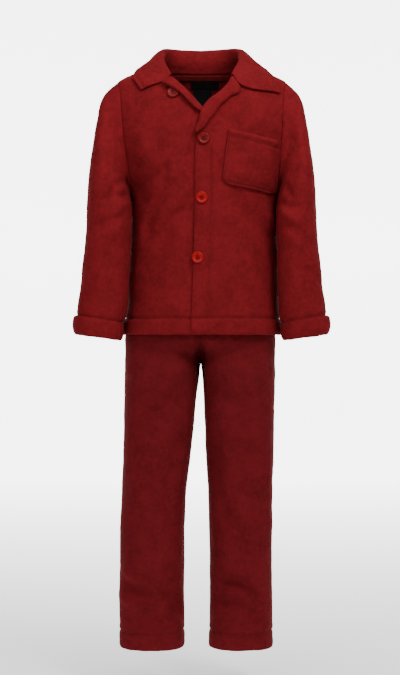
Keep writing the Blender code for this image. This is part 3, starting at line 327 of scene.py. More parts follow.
# ---- trousers ----
LEG_HEM = -923.5
WAIST = -253.0
CROTCH = -462.0
CROTCH_RISE = 42.0    # height over which the legs turn into the hips
HIP_CENTRE = -1.8
CENTRE_CLOSE = 0.3    # how far each half reaches over the centre seams
SIDE_FADE = 0.2       # share of a panel beside each seam where its creases fade out
CROTCH_FOLD = (-1.8, -438.0, 6.5, 40.0, 8.0)   # across, height, half-width, half-height, depth
LEG_COLUMNS = 60
LEG_CREASE_DEPTH = 1.5
WAIST_CASING = 28.0
LEG = dict(
    height=(-923.5, -895, -850, -800, -720, -667, -614, -561, -521, -482, -462),
    right_centre=(81.6, 81.8, 82.2, 81.5, 80.6, 78.0, 73.8, 70.2, 68.4, 65.2, 64.0),
    right_half=(53.0, 53.2, 53.6, 53.0, 53.4, 53.3, 55.5, 57.8, 59.2, 61.0, 62.2),
    left_centre=(64.8, 65.2, 65.6, 64.8, 64.7, 64.0, 63.2, 62.5, 62.4, 61.8, 60.2),
    left_half=(52.6, 52.0, 51.6, 51.0, 52.2, 53.0, 55.4, 57.0, 58.3, 59.8, 61.0),
    front=(53.5, 53.5, 54, 55, 57, 59, 61.5, 65, 68, 72, 74),
    back=(53, 53, 54, 55.5, 58, 61, 65, 69.5, 73, 78, 80),
)
HIP = dict(
    height=(-462, -440, -418, -405, -392, -380, -350, -300, -253),
    half=(123.6, 123.8, 123.8, 122.6, 120, 117, 114, 106, 100),
    front=(80, 82, 82, 81.5, 81, 80, 78, 75, 72),
    back=(85, 86, 85, 84, 82.5, 81, 79, 76, 73),
)
LEG_CREASES = {
    # side: from across, height, to across, height, bow, half-width, rise, 1 front or -1 back
    -1: (
        (-112, -822, -84, -838, 3, 12, -3.0, 1),
        (-58, -836, -36, -858, -4, 12, -3.0, 1),
        (-106, -786, -60, -778, 5, 13, 2.6, 1),
        (-44, -520, -96, -560, 0, 16, -2.6, 1),
        (-120, -800, -94, -812, 3, 7, 1.5, 1),
        (-124, -842, -92, -852, 3, 7, 1.6, 1),
        (-70, -800, -44, -822, 4, 9, 1.6, 1),
        (-112, -872, -76, -878, 3, 7, -1.4, 1),
        (-60, -872, -36, -880, 3, 7, 1.3, 1),
        (-36, -600, -52, -700, 8, 13, -1.8, 1),
        (-110, -640, -92, -760, -8, 16, 1.4, 1),
        (-60, -720, -40, -760, 6, 11, 1.5, 1),
        (-112, -470, -80, -486, 5, 12, 1.5, 1),
        (-40, -470, -60, -500, 6, 12, 1.6, 1),
        (-110, -700, -58, -730, 8, 14, -2.0, -1),
        (-104, -520, -40, -548, 8, 15, 2.2, -1),
        (-112, -820, -60, -846, 6, 12, -2.6, -1),
        (-104, -862, -56, -872, 5, 8, 1.8, -1),
        (-100, -610, -60, -640, -6, 14, -1.6, -1),
    ),
    1: (
        (40, -812, 84, -838, -6, 11, -3.2, 1),
        (34, -846, 80, -866, -6, 11, -2.8, 1),
        (30, -505, 84, -548, 0, 16, -2.6, 1),
        (60, -700, 104, -716, 5, 14, 2.2, 1),
        (48, -828, 92, -850, -6, 7, 2.2, 1),
        (44, -796, 90, -818, -6, 8, 1.9, 1),
        (60, -744, 100, -752, 5, 8, -1.8, 1),
        (40, -868, 96, -884, -5, 8, 1.5, 1),
        (24, -590, 34, -690, 7, 13, -1.8, 1),
        (86, -560, 104, -650, -8, 15, 1.6, 1),
        (56, -664, 100, -676, 5, 9, -1.3, 1),
        (70, -470, 104, -480, -5, 12, 1.4, 1),
        (30, -474, 50, -510, -6, 13, 1.5, 1),
        (104, -712, 52, -742, -8, 14, -2.0, -1),
        (98, -530, 36, -556, -8, 15, 2.2, -1),
        (106, -826, 54, -850, -6, 12, -2.6, -1),
        (98, -866, 50, -876, -5, 8, 1.8, -1),
        (92, -620, 52, -652, 6, 14, -1.6, -1),
    ),
}

# ---- stage, in metres ----
FLOOR = -0.99
STAGE_FRONT = 3.2
STAGE_BACK = 3.8
STAGE_ROUND = 1.0
STAGE_TALL = 3.6
STAGE_HALF = 4.0
GLOW = 4.5            # glow of the backdrop, which the floor takes on from this depth back
GLOW_START = -1.2
WORLD_LIGHT = 0.2
LIGHTS = (
    # name, place, aim, width, height, power
    ("key_panel", (0.95, -1.35, 1.3), (0.0, 0.0, -0.15), 0.7, 0.7, 36.0),
    ("fill_panel", (-1.4, -2.0, 0.4), (0.0, 0.0, -0.35), 1.3, 1.4, 15.0),
    ("chest_panel", (-0.2, -0.95, 0.8), (0.0, 0.0, -0.05), 0.6, 0.5, 5.0),
    ("top_panel", (0.0, -0.2, 1.5), (0.0, 0.0, -0.1), 1.4, 1.0, 12.0),
)
CAMERA_PLACE = (-0.002475, -2.55, -0.4166)
CAMERA_LENS = 2.55 * 36 / 1.11375


# ---- curves, folds and unevenness ----
def between(values, slopes, row, share, step=1.0):
    """A smooth curve from a row of values to the next one, with a slope given at each."""
    rest = 1 - share
    ends = rest * rest * (1 + 2 * share) * values[row] + share * share * (3 - 2 * share) * values[row + 1]
    return ends + step * share * rest * (rest * slopes[row] - share * slopes[row + 1])


def smooth(table, column, key="height"):
    """A curve through one column of a table, with slopes taken from the rows on each side."""
    places, values = np.array(table[key], float), np.array(table[column], float)
    slopes = np.gradient(values, places)

    def value(place):
        place = np.asarray(place, float)
        row = np.clip(np.searchsorted(places, place) - 1, 0, len(places) - 2)
        step = places[row + 1] - places[row]
        return between(values, slopes, row, np.clip((place - places[row]) / step, 0, 1), step)

    return value


def ease(share):
    share = np.clip(share, 0, 1)
    return share * share * (3 - 2 * share)


def hump(value, half_width):
    return np.exp(-(value / half_width) ** 2)


def unit(vector):
    return vector / np.maximum(np.linalg.norm(vector, axis=-1, keepdims=True), 1e-9)


def steps(start, end):
    return np.linspace(start, end, max(1, round(abs(end - start) / CELL)) + 1)


def run_length(points):
    """Distance of each point from the first one, along the first axis."""
    step = np.linalg.norm(np.diff(points, axis=0), axis=-1)
    return np.concatenate([np.zeros((1,) + step.shape[1:]), np.cumsum(step, axis=0)])


def creased(creases, across, height):
    """Rise of the cloth, summed over soft bowed ridges and troughs."""
    total = np.zeros(np.broadcast(across, height).shape)
    for from_x, from_z, to_x, to_z, bow, half_width, rise in creases:
        run = np.array([to_x - from_x, to_z - from_z], float)
        length = np.linalg.norm(run)
        along = ((across - from_x) * run[0] + (height - from_z) * run[1]) / length
        share = np.clip(along / length, 0, 1)
        aside = ((across - from_x) * run[1] - (height - from_z) * run[0]) / length
        aside = aside - bow * 4 * share * (1 - share)
        past = np.maximum(np.maximum(-along, along - length), 0)
        total = total + rise * hump(aside, half_width) * hump(past, CREASE_END * half_width)
    return total * CREASE_DEPTH


def uneven(points, size, seed):
    """Smooth random value between -1 and 1 at each point, on a lattice of this size."""
    place = points / size + SEED_STEP * seed
    base = np.floor(place)
    share = ease(place - base)
    total = np.zeros(points.shape[:-1])
    for corner in np.ndindex(2, 2, 2):
        weight = np.prod(np.where(np.array(corner) == 1, share, 1 - share), axis=-1)
        spot = (base + corner) @ np.array(LATTICE)
        total += weight * (np.mod(np.sin(spot) * LATTICE_SPREAD, 1.0) * 2 - 1)
    return total


def stitched(distance, depth, sewing=JACKET_SEWING):
    """Rise across a hem: plump between its edge and the line of stitching, which pulls the pile in."""
    puff, dip, width = sewing
    inside = ease(distance / HEM_ROUND) * ease((depth - distance) / HEM_ROUND)
    beside = SWELL_RISE * hump(distance - depth - SWELL_PLACE, SWELL_WIDTH)
    return puff * inside - dip * hump(distance - depth, width) + beside


# ---- the jacket body as one smooth form that its panels are cut from ----
body_half, body_centre, body_front, body_back = (
    smooth(BODY, column) for column in ("half_width", "centre", "front", "back"))
armhole_half = smooth(ARMHOLE, "half_width")
upper_edge = smooth(UPPER_EDGE, "across")


def squared(value):
    return np.sign(value) * np.abs(value) ** (2 / PLAN_POWER)


def plan_turn(share):
    """Plan angle at which the form reaches this share of its half-width."""
    return np.arccos(np.sign(share) * np.abs(share) ** (PLAN_POWER / 2))


def body_form(angle, height):
    """Outer face of the body, angle 0 at the wearer's left side and 90 degrees at the front."""
    angle, height = np.broadcast_arrays(np.asarray(angle, float), np.asarray(height, float))
    sine, cosine = np.sin(angle), np.cos(angle)
    depth = np.where(sine >= 0, body_front(height), body_back(height))
    x = body_centre(height) + body_half(height) * squared(cosine)
    return np.stack([x, -depth * squared(sine), height], axis=-1)


def body_normal(angle, height):
    one = body_form(angle + 0.03, height) - body_form(angle - 0.03, height)
    two = body_form(angle, height + 1.5) - body_form(angle, height - 1.5)
    return unit(np.cross(two, one))


def body_cloth(angle, height):
    """Outer face of the body with its creases, and its normal."""
    base, normal = body_form(angle, height), body_normal(angle, height)
    sine = np.sin(angle)
    front, back = (creased(table, base[..., 0], base[..., 2]) for table in (FRONT_CREASES, BACK_CREASES))
    rise = np.where(sine >= 0, front, back) * ease(np.abs(sine) / CREASE_SIDE)
    return base + normal * rise[..., None], normal


def front_angle(across, height):
    return plan_turn(np.clip((across - body_centre(height)) / body_half(height), -1, 1))


def front_place(across, height):
    return body_cloth(front_angle(across, height), height)


def wall(turned):
    """Thickness of the cloth, from single at 0 to a turned hem at 1."""
    return CLOTH + (HEM_CLOTH - CLOTH) * turned


def jacket_wall(height):
    return wall(ease((JACKET_HEM + HEM_DEPTH - height) / HEM_EASE + 0.5))


# ---- meshes ----
def linked(name, data):
    piece = bpy.data.objects.new(name, data)
    bpy.context.scene.collection.objects.link(piece)
    return piece


def add_shell(name, outer, inner, material, cells=None, tube=False, lumps=1.0):
    """A closed cloth wall between two grids of points, with rounded edges and uneven pile."""
    rows, columns = outer.shape[:2]
    number = np.arange(rows * columns).reshape(rows, columns)
    if tube:
        number = np.concatenate([number, number[:, :1]], axis=1)
    quads = np.stack([number[:-1, :-1], number[:-1, 1:], number[1:, 1:], number[1:, :-1]], axis=-1)
    quads = (quads if cells is None else quads[cells]).reshape(-1, 4)
    outer, inner = outer.reshape(-1, 3).copy(), inner.reshape(-1, 3).copy()
    count = len(outer)
    start, end = quads.reshape(-1), np.roll(quads, -1, axis=1).reshape(-1)
    centre = np.repeat(outer[quads].mean(axis=1), 4, axis=0)
    rim = ~np.isin(start * count + end, end * count + start)
    start, end, centre = start[rim], end[rim], centre[rim]
    # Direction out of the cloth's edge, at each rim point.
    away = (outer[start] + outer[end]) / 2 - centre
    along = unit(outer[end] - outer[start])
    away -= along * (away * along).sum(axis=1, keepdims=True)
    out = np.zeros((count, 3))
    np.add.at(out, start, unit(away))
    np.add.at(out, end, unit(away))
    rim_points = np.unique(start)
    out = unit(out[rim_points])
    half = (outer[rim_points] - inner[rim_points]) / 2
    thick = unit(half)
    out = unit(out - thick * (out * thick).sum(axis=1, keepdims=True))
    reach = out * np.linalg.norm(half, axis=1, keepdims=True) * EDGE_ROUND
    for grid in (outer, inner):
        grid[rim_points] -= reach - out * SEAM_CLOSE
    middle = (outer[rim_points] + inner[rim_points]) / 2
    turns = np.radians((45, 90, 135))
    bead = [middle + half * math.cos(turn) + reach * math.sin(turn) for turn in turns]
    points = np.concatenate([outer, inner, *bead])
    place = np.full(count, -1)
    place[rim_points] = np.arange(len(rim_points))
    chain = [(start, end)]
    chain += [(2 * count + k * len(rim_points) + place[start], 2 * count + k * len(rim_points) + place[end])
              for k in range(len(turns))]
    chain += [(start + count, end + count)]
    faces = [quads, quads[:, ::-1] + count]
    for (near_start, near_end), (far_start, far_end) in zip(chain, chain[1:]):
        faces.append(np.stack([near_end, near_start, far_start, far_end], axis=1))
    used, faces = np.unique(np.concatenate(faces), return_inverse=True)
    return finish_mesh(name, points[used], faces.reshape(-1, 4), material, lumps)


def finish_mesh(name, points, faces, material, lumps):
    """A mesh object in metres, faces out, with the pile's unevenness pressed into it."""
    corners = points[faces]
    volume = sum((corners[:, 0] * np.cross(corners[:, one], corners[:, one + 1])).sum() for one in (1, 2))
    if volume < 0:
        faces = faces[:, ::-1]
    mesh = bpy.data.meshes.new(name)
    mesh.from_pydata(points * MM, [], faces.tolist())
    if lumps:
        normals = np.zeros(len(points) * 3)
        mesh.vertices.foreach_get("normal", normals)
        rise = sum(height * uneven(points, size, number) for number, (size, height) in enumerate(PILE_LUMPS))
        points = points + normals.reshape(-1, 3) * (rise * lumps)[:, None]
        mesh.vertices.foreach_set("co", (points * MM).reshape(-1))
    mesh.shade_smooth()
    mesh.materials.append(material)
    mesh.update()
    return linked(name, mesh)


def add_tubes(name, tubes, material):
    """Closed tubes, each given as rings of points in metres."""
    work = bmesh.new()
    for tube in tubes:
        rings = [[work.verts.new(point) for point in ring] for ring in tube]
        for low, high in zip(rings, rings[1:]):
            for side in range(len(low)):
                after = (side + 1) % len(low)
                work.faces.new((low[side], low[after], high[after], high[side]))
        work.faces.new(rings[0])
        work.faces.new(rings[-1])
    bmesh.ops.recalc_face_normals(work, faces=work.faces)
    mesh = bpy.data.meshes.new(name)
    work.to_mesh(mesh)
    work.free()
    mesh.shade_smooth()
    mesh.materials.append(material)
    return linked(name, mesh)


def refine(grid, rows, columns):
    """A grid of points made finer by smooth curves along its rows and then its columns."""
    for axis, factor in ((0, rows), (1, columns)):
        count = grid.shape[axis]
        fine = np.linspace(0, count - 1, (count - 1) * factor + 1)
        moved = np.moveaxis(grid, axis, 0)
        row = np.clip(np.searchsorted(np.arange(count, dtype=float), fine) - 1, 0, count - 2)
        value = between(moved, np.gradient(moved, axis=0), row, (fine - row)[:, None, None])
        grid = np.moveaxis(value, 0, axis)
    return grid


# ---- jacket panels ----
armhole_rows = steps(ARMPIT, SHOULDER_TIP)
LOWER = len(steps(JACKET_HEM, ARMPIT)) - 1
panel_rows = np.concatenate([
    steps(JACKET_HEM, ARMPIT)[:-1], armhole_rows, steps(SHOULDER_TIP, NECK_SIDE)[1:],
])
EVEN_ROW = LOWER + 30
armhole = slice(LOWER, LOWER + len(armhole_rows))
# Plan angle of the panels' side boundary: side seam, armhole, shoulder seam.
side_turn = plan_turn(np.minimum(1.0, armhole_half(panel_rows) / body_half(panel_rows)))
side_turn[(panel_rows <= ARMPIT) | (panel_rows >= SHOULDER_TIP)] = 0.0
# Half of the gap at the side and shoulder seams, where there is no armhole.
seam_half_gap = SEAM_GAP / 2 * (side_turn == 0)


def along_path(path, count):
    """Evenly spaced places on a smooth path over the front."""
    keys = np.arange(len(path["across"]))
    fine = np.linspace(0, keys[-1], 400)
    x, z = (smooth(dict(path, key=keys), column, "key")(fine) for column in ("across", "height"))
    run = run_length(body_form(front_angle(x, z), z))
    wanted = np.linspace(0, run[-1], count)
    return np.interp(wanted, run, x), np.interp(wanted, run, z)


def coons(bottom, top, left, right):
    """Places inside a four-sided patch, blended from its four edges."""
    across, up = np.linspace(0, 1, len(bottom))[None, :], np.linspace(0, 1, len(left))[:, None]
    sides = (1 - across) * left[:, None] + across * right[:, None]
    ends = (1 - up) * bottom[None, :] + up * top[None, :]
    low, high = ((1 - across) * edge[0] + across * edge[-1] for edge in (bottom, top))
    return sides + ends - ((1 - up) * low + up * high)


def panel_places(start, end, top_angle, top_height, end_height):
    """Plan angle and height of a panel's grid: level rows up to the armpit, then a patch up to its top
    edge. start and end give the angle of its two sides at each row."""
    share = np.linspace(0, 1, len(top_angle))
    low_angle = start[:LOWER + 1, None] * (1 - share) + end[:LOWER + 1, None] * share
    low_height = np.repeat(panel_rows[:LOWER + 1, None], len(share), axis=1)
    high_angle = coons(low_angle[-1], top_angle, start[LOWER:], end[LOWER:])
    high_height = coons(low_height[-1], top_height, panel_rows[LOWER:], end_height)
    return np.concatenate([low_angle[:-1], high_angle]), np.concatenate([low_height[:-1], high_height])


def front_places(side, edge, roll):
    """Plan angle and height of each grid point of a front, outer side first."""
    seam_x, seam_z = along_path(NECK_SEAM, NECK_COLUMNS + 1)
    roll_x, roll_z = along_path(roll, FRONT_COLUMNS - NECK_COLUMNS + 1)
    top_x = np.concatenate([seam_x, roll_x[1:]]) * side
    top_height = np.concatenate([seam_z, roll_z[1:]])
    top_angle = front_angle(top_x, top_height)
    top_angle[0] = 0.0 if side > 0 else math.pi
    high_edge = np.linspace(ARMPIT, top_height[-1], len(panel_rows) - LOWER)
    edge_height = np.concatenate([panel_rows[:LOWER], high_edge])
    edge_angle = front_angle(smooth(edge, "across")(edge_height), edge_height)
    edge_angle[-1] = top_angle[-1]
    start = side_turn if side > 0 else math.pi - side_turn
    angle, level = panel_places(start, edge_angle, top_angle, top_height, high_edge)
    # The lower corner at the free edge is cut round; the rows above it share the lift.
    from_edge = np.abs(angle[0] - angle[0, -1]) * body_half(JACKET_HEM)
    inside = np.clip(1 - from_edge / CORNER_ROUND, 0, 1)
    lift = CORNER_ROUND * (1 - np.sqrt(1 - inside ** 2))
    level = level + lift * ease(1 - (level - JACKET_HEM) / (4 * CORNER_ROUND))
    # Places between the edges are evened out, so that no cell folds over the one beside it.
    for _ in range(EVEN_ROUNDS):
        for grid in (angle[EVEN_ROW:], level[EVEN_ROW:]):
            grid[1:-1, 1:-1] = (grid[:-2, 1:-1] + grid[2:, 1:-1] + grid[1:-1, :-2] + grid[1:-1, 2:]) / 4
    return angle, level


def stepped_back(side, points, normals):
    """The under front lies a cloth's thickness further in where the upper one covers it."""
    if side > 0:
        return points
    level = points[..., 2]
    start = upper_edge(np.minimum(level, LAPEL_FOOT)) + OVERLAP_START
    start = start + OVERLAP_SHIFT * ease((level - LAPEL_FOOT) / OVERLAP_RISE)
    under = ease((points[..., 0] - start) / OVERLAP_EASE)
    return points - normals * ((jacket_wall(level) + LAID_GAP) * under)[..., None]


def hem_rise(side, points):
    """Plump hem and facing, pulled in along their stitching."""
    height = points[..., 2]
    rise = stitched(height - JACKET_HEM, HEM_DEPTH)
    if side > 0:
        from_edge = points[..., 0] - upper_edge(np.minimum(height, LAPEL_FOOT))
        facing = ease((LAPEL_FOOT - FACING_TOP - height) / FACING_TOP)
        above_hem = ease((height - JACKET_HEM - HEM_DEPTH) / 6)
        facing = facing * (FACING_LOW + (1 - FACING_LOW) * above_hem)
        rise = rise + stitched(from_edge, PLACKET_WIDTH, PLACKET_SEWING) * facing
    return rise


def make_front(name, side, edge, roll, lapel, edge_gap, material):
    angle, height = front_places(side, edge, roll)
    laid, normal = body_cloth(angle, height)
    inner = stepped_back(side, laid - normal * jacket_wall(height)[..., None], normal)
    outer = stepped_back(side, laid, normal)
    roll_line = outer[-1].copy()
    outer = outer + normal * hem_rise(side, laid)[..., None]
    for grid in (outer, inner):
        grid[:, 0, 1] -= seam_half_gap
    # The lapel: an arch over the roll line, then a strip laid back over the front.
    share = np.clip((np.arange(FRONT_COLUMNS + 1) - NECK_COLUMNS) / (FRONT_COLUMNS - NECK_COLUMNS), 0, 1)
    width = smooth(lapel, "width", "share")(share)
    turned = (np.arange(FRONT_COLUMNS) >= NECK_COLUMNS) & (share[1:] <= lapel["share"][-1])
    line = body_form(angle[-1], height[-1])
    off = unit(np.cross(normal[-1], unit(np.gradient(line, axis=0)))) * -side
    radius = LAPEL_LIFT / 2
    centre = roll_line + normal[-1] * radius
    over_outer, over_inner = [], []
    for turn in np.radians(np.linspace(*LAPEL_ARCH)):
        spoke = off * math.sin(turn) - normal[-1] * math.cos(turn)
        over_outer.append(centre + spoke * radius)
        over_inner.append(centre + spoke * (radius + CLOTH))
    for part in np.linspace(*LAPEL_FLAT):
        place = line - off * (width * part)[:, None]
        spot, spot_normal = front_place(place[:, 0], place[:, 2])
        spot = stepped_back(side, spot, spot_normal)
        gap = LAPEL_LIFT + (edge_gap - LAPEL_LIFT) * part
        plump = LAYER_PLUMP * ease(part / 0.4) * ease(width / 12)
        over_outer.append(spot + spot_normal * gap)
        over_inner.append(spot + spot_normal * (gap + CLOTH + plump)[:, None])
    cells = np.ones((len(outer) - 1 + len(over_outer), FRONT_COLUMNS), bool)
    cells[len(outer) - 1:] = turned
    whole_outer, whole_inner = np.concatenate([outer, over_outer]), np.concatenate([inner, over_inner])
    return add_shell(name, whole_outer, whole_inner, material, cells), outer, inner


def make_back(material):
    share = np.linspace(0, 1, BACK_COLUMNS + 1)
    top_height = NECK_SIDE - (NECK_SIDE - NECK_BACK) * np.sin(math.pi * share) ** 0.8
    angle, height = panel_places(
        -side_turn, side_turn - math.pi, -math.pi * share, top_height, panel_rows[LOWER:])
    laid, normal = body_cloth(angle, height)
    inner = laid - normal * jacket_wall(height)[..., None]
    outer = laid + normal * stitched(height - JACKET_HEM, HEM_DEPTH)[..., None]
    for grid in (outer, inner):
        grid[:, (0, -1), 1] += seam_half_gap[:, None]
    return add_shell("jacket_back_cloth", outer, inner, material), outer, inner


# ---- sleeves ----
def make_sleeve(name, side, front, back, material):
    """front and back are the outer and inner points of the armhole's two edges, armpit to tip."""
    top = len(front[0]) - 1
    joined = []
    for front_edge, back_edge in zip(front, back):
        loop = np.concatenate([front_edge, back_edge[-2:0:-1]])
        loop[[0, top]] = (front_edge[[0, -1]] + back_edge[[0, -1]]) / 2
        joined.append(loop)
    loop, loop_inner = joined
    seam = unit(np.roll(loop, -1, axis=0) - np.roll(loop, 1, axis=0))
    off = np.cross(seam, unit(loop - loop_inner))
    off *= -np.sign(((loop - loop.mean(axis=0)) * off).sum(axis=1, keepdims=True))
    up = np.clip((loop[:, 2] - loop[0, 2]) / (loop[top, 2] - loop[0, 2]), 0, 1)
    facing = np.sign(loop[:, 1])
    facing[[0, top]] = 0
    round_share = (1 - np.abs(2 * up - 1) ** PLAN_POWER) ** (1 / PLAN_POWER)
    bow = loop[:, 0] - (loop[0, 0] + (loop[top, 0] - loop[0, 0]) * up)
    places = [np.linspace(ring - 1, ring, count + 1)[1:] for ring, count in enumerate(RING_STEPS)]
    curve = {column: smooth(SLEEVE, column, "ring") for column in SLEEVE if column != "ring"}
    first = loop + off * ARMHOLE_GAP
    rings, depths = [first], [0.0]
    for place in np.concatenate(places):
        # Before ring 0 the sleeve leaves the armhole's own outline.
        part = min(1.0, place + 1)
        place = max(place, 0.0)
        at = {column: float(value(place)) for column, value in curve.items()}
        level = min(at["inner_z"], ARMPIT)
        inner_x = side * (body_half(level) + side * body_centre(level) + at["gap"])
        inner_point = np.array([inner_x, 0.0, at["inner_z"]])
        outer_point = np.array([side * at["outer_x"], 0.0, at["outer_z"]])
        spine = inner_point + (outer_point - inner_point) * up[:, None]
        share = at["armhole_share"]
        swing = share * np.abs(loop[:, 1]) + (1 - share) * at["half_depth"] * round_share
        spine[:, 0] += bow * share
        spine[:, 1] = facing * swing - SLEEVE_FORWARD * ease(place / FORWARD_RINGS)
        rings.append(first + (spine - first) * part)
        depths.append(place)
    outer, depths = np.array(rings), np.array(depths)
    around = np.roll(outer, -1, axis=1) - np.roll(outer, 1, axis=1)
    normals = unit(np.cross(np.gradient(outer, axis=0), around))
    if ((outer - outer.mean(axis=1, keepdims=True)) * normals).sum() < 0:
        normals = -normals
    inner = outer - normals * wall(ease(depths - CUFF_RING + 0.5))[:, None, None]
    inner[0] = loop_inner + off * ARMHOLE_GAP
    rise = np.zeros(outer.shape[:2])
    for *crease, face in SLEEVE_CREASES[side]:
        seen = ease(-normals[..., 1] * face / 0.5)
        rise += creased([crease], outer[..., 0], outer[..., 2]) * seen
    rise *= ease(depths / 0.6)[:, None]
    inner = inner + normals * rise[..., None]
    stitch_row = int(np.argmin(np.abs(depths - CUFF_RING)))
    run = run_length(outer)
    rise += stitched(run[-1] - run, run[-1] - run[stitch_row])
    outer = outer + normals * rise[..., None]
    return add_shell(name, outer, inner, material, tube=True), outer[stitch_row]


# ---- collar ----
def clear_of_body(point, distance):
    """A point moved out, where needed, to lie this far outside the body."""
    for _ in range(CLEARING_STEPS):
        x, y, z = point
        if z > NECK_SIDE:
            return point
        half, middle = float(body_half(z)), float(body_centre(z))
        depth = float(body_front(z)) if y <= 0 else float(body_back(z))
        size = (abs((x - middle) / half) ** PLAN_POWER + abs(y / depth) ** PLAN_POWER) ** (1 / PLAN_POWER)
        size = max(size, 1e-6)
        sine, cosine = -y / depth / size, (x - middle) / half / size
        angle = math.atan2(*(
            math.copysign(abs(part) ** (PLAN_POWER / 2), part) for part in (sine, cosine)))
        normal = body_normal(angle, z)
        reach = math.hypot(x - middle, y) * (1 - 1 / size)
        above = reach * float(np.dot(unit(np.array([x - middle, y, 0.0])), normal))
        if above >= distance - CLEAR_ENOUGH:
            return point
        point = point + normal * (distance - above)
    return point


def bezier(points, shares):
    shares = np.asarray(shares)[:, None]
    rest = 1 - shares
    return (
        points[0] * rest ** 3 + 3 * points[1] * rest ** 2 * shares
        + 3 * points[2] * rest * shares ** 2 + points[3] * shares ** 3
    )


def neck_seam(left, right, back):
    """Top edge of the assembled panels from the right gorge round to the left gorge."""
    def joined(row, layer):
        return np.concatenate([
            right[layer][row, NECK_COLUMNS:0:-1], back[layer][row, ::-1],
            left[layer][row, 1:NECK_COLUMNS + 1],
        ])

    outer, inner = joined(-1, 0), joined(-1, 1)
    up = unit(np.cross(unit(np.gradient(outer, axis=0)), unit(outer - inner)))
    up *= np.sign((up * (outer - joined(-3, 0))).sum(axis=1, keepdims=True))
    run = run_length(outer)
    wanted = np.linspace(0, run[-1], COLLAR_STATIONS)

    def spaced(grid):
        return np.stack([np.interp(wanted, run, grid[:, axis]) for axis in range(3)], axis=-1)

    return spaced(outer), spaced(inner), unit(spaced(up))


def make_collar(seam_outer, seam_inner, seam_up, material):
    """Stations run along the neck seam from the right gorge, round the back, to the left gorge."""
    middle = (seam_outer + seam_inner) / 2 + seam_up * NECK_SEAM_GAP
    for end, inner_one in ((0, 1), (-1, -2)):
        middle[end] += unit(middle[inner_one] - middle[end]) * NECK_SEAM_GAP
    count = len(middle)
    run = run_length(middle)
    reach = np.abs(run / run[-1] * 2 - 1)
    side = np.sign(np.arange(count) - (count - 1) / 2)
    crest = np.stack([smooth(COLLAR_CREST, axis, "reach")(reach) for axis in "xyz"], axis=-1)
    crest[:, 0] *= side
    level_run = np.gradient(crest, axis=0) * [1, 1, 0]
    outward = unit(np.stack([level_run[:, 1], -level_run[:, 0], np.zeros(count)], axis=-1))
    outward *= np.sign((outward * (crest * [1, 1, 0] - [0, 5, 0])).sum(axis=1, keepdims=True))
    clear = LEAF_GAP + COLLAR_CLOTH / 2
    rows = []
    for station in range(count):
        word = "left_" if side[station] >= 0 else "right_"
        at = {
            column[len(word):]: float(smooth(table, column, "reach")(reach[station]))
            for table in (LEAF_EDGE, LEAF_SAG) for column in table if column.startswith(word)
        }
        angle = math.radians(at["angle"])
        if side[station] < 0:
            angle = math.pi - angle
        edge = body_form(angle, at["height"]) + body_normal(angle, at["height"]) * clear
        start, top = middle[station], crest[station]
        rise = np.linalg.norm(top - start)
        bend = min(CREST_ROUND, 0.55 * rise + 1.5)
        stand = bezier(
            (start, start + seam_up[station] * rise * 0.4, top - outward[station] * bend * 0.6, top),
            STAND_SHARES,
        )
        near = top + outward[station] * bend + np.array([side[station] * at["out"], 0.0, -at["down"]])
        far = edge + unit(top - edge) * np.linalg.norm(edge - top) * 0.35
        far = far + np.array([-side[station] * at["far_in"], 0.0, -at["far_down"]])
        leaf = [clear_of_body(point, clear) for point in bezier((top, near, far, edge), LEAF_SHARES)]
        rows.append(np.concatenate([stand, leaf]))
    path = np.array(rows)
    for end, inner_one in ((0, 1), (-1, -2)):
        path[end, 1:] += unit(path[inner_one] - path[end])[1:] * COLLAR_END_GAP
    normal = unit(np.cross(np.gradient(path, axis=1), np.gradient(path, axis=0)))
    if normal[count // 2, -2, 1] < 0:
        normal = -normal
    seam_normal = unit(seam_outer - seam_inner)
    if (seam_normal[count // 2] * normal[count // 2, 0]).sum() < 0:
        seam_normal = -seam_normal
    normal[:, 0] = seam_normal
    for _ in range(NORMAL_ROUNDS):
        normal[:, 1:-1] = unit(normal[:, 1:-1] + (normal[:, :-2] + normal[:, 2:]) / 2)
    thick = COLLAR_CLOTH + (COLLAR_END_CLOTH - COLLAR_CLOTH) * ease((reach - 0.5) / 0.35)
    outer, inner = (refine(path + normal * thick[:, None, None] * half, 6, 5) for half in (0.5, -0.5))
    # The two layers are plumper than their edge, which is stitched flat.
    out = unit(outer - inner)
    run = run_length(outer.swapaxes(0, 1)).T
    from_edge = run[:, -1:] - run
    plump = LAYER_PLUMP * ease((from_edge - 2) / 10) * ease(run / 16)
    dip = COLLAR_DIP * hump(from_edge - COLLAR_STITCH, 1.8)
    outer = outer + out * (plump - dip)[..., None]
    stitch_column = np.argmin(np.abs(from_edge - COLLAR_STITCH), axis=1)
    ring = np.arange(len(outer))
    line = outer[ring, stitch_column], out[ring, stitch_column]
    return add_shell("collar_cloth", outer, inner, material), line


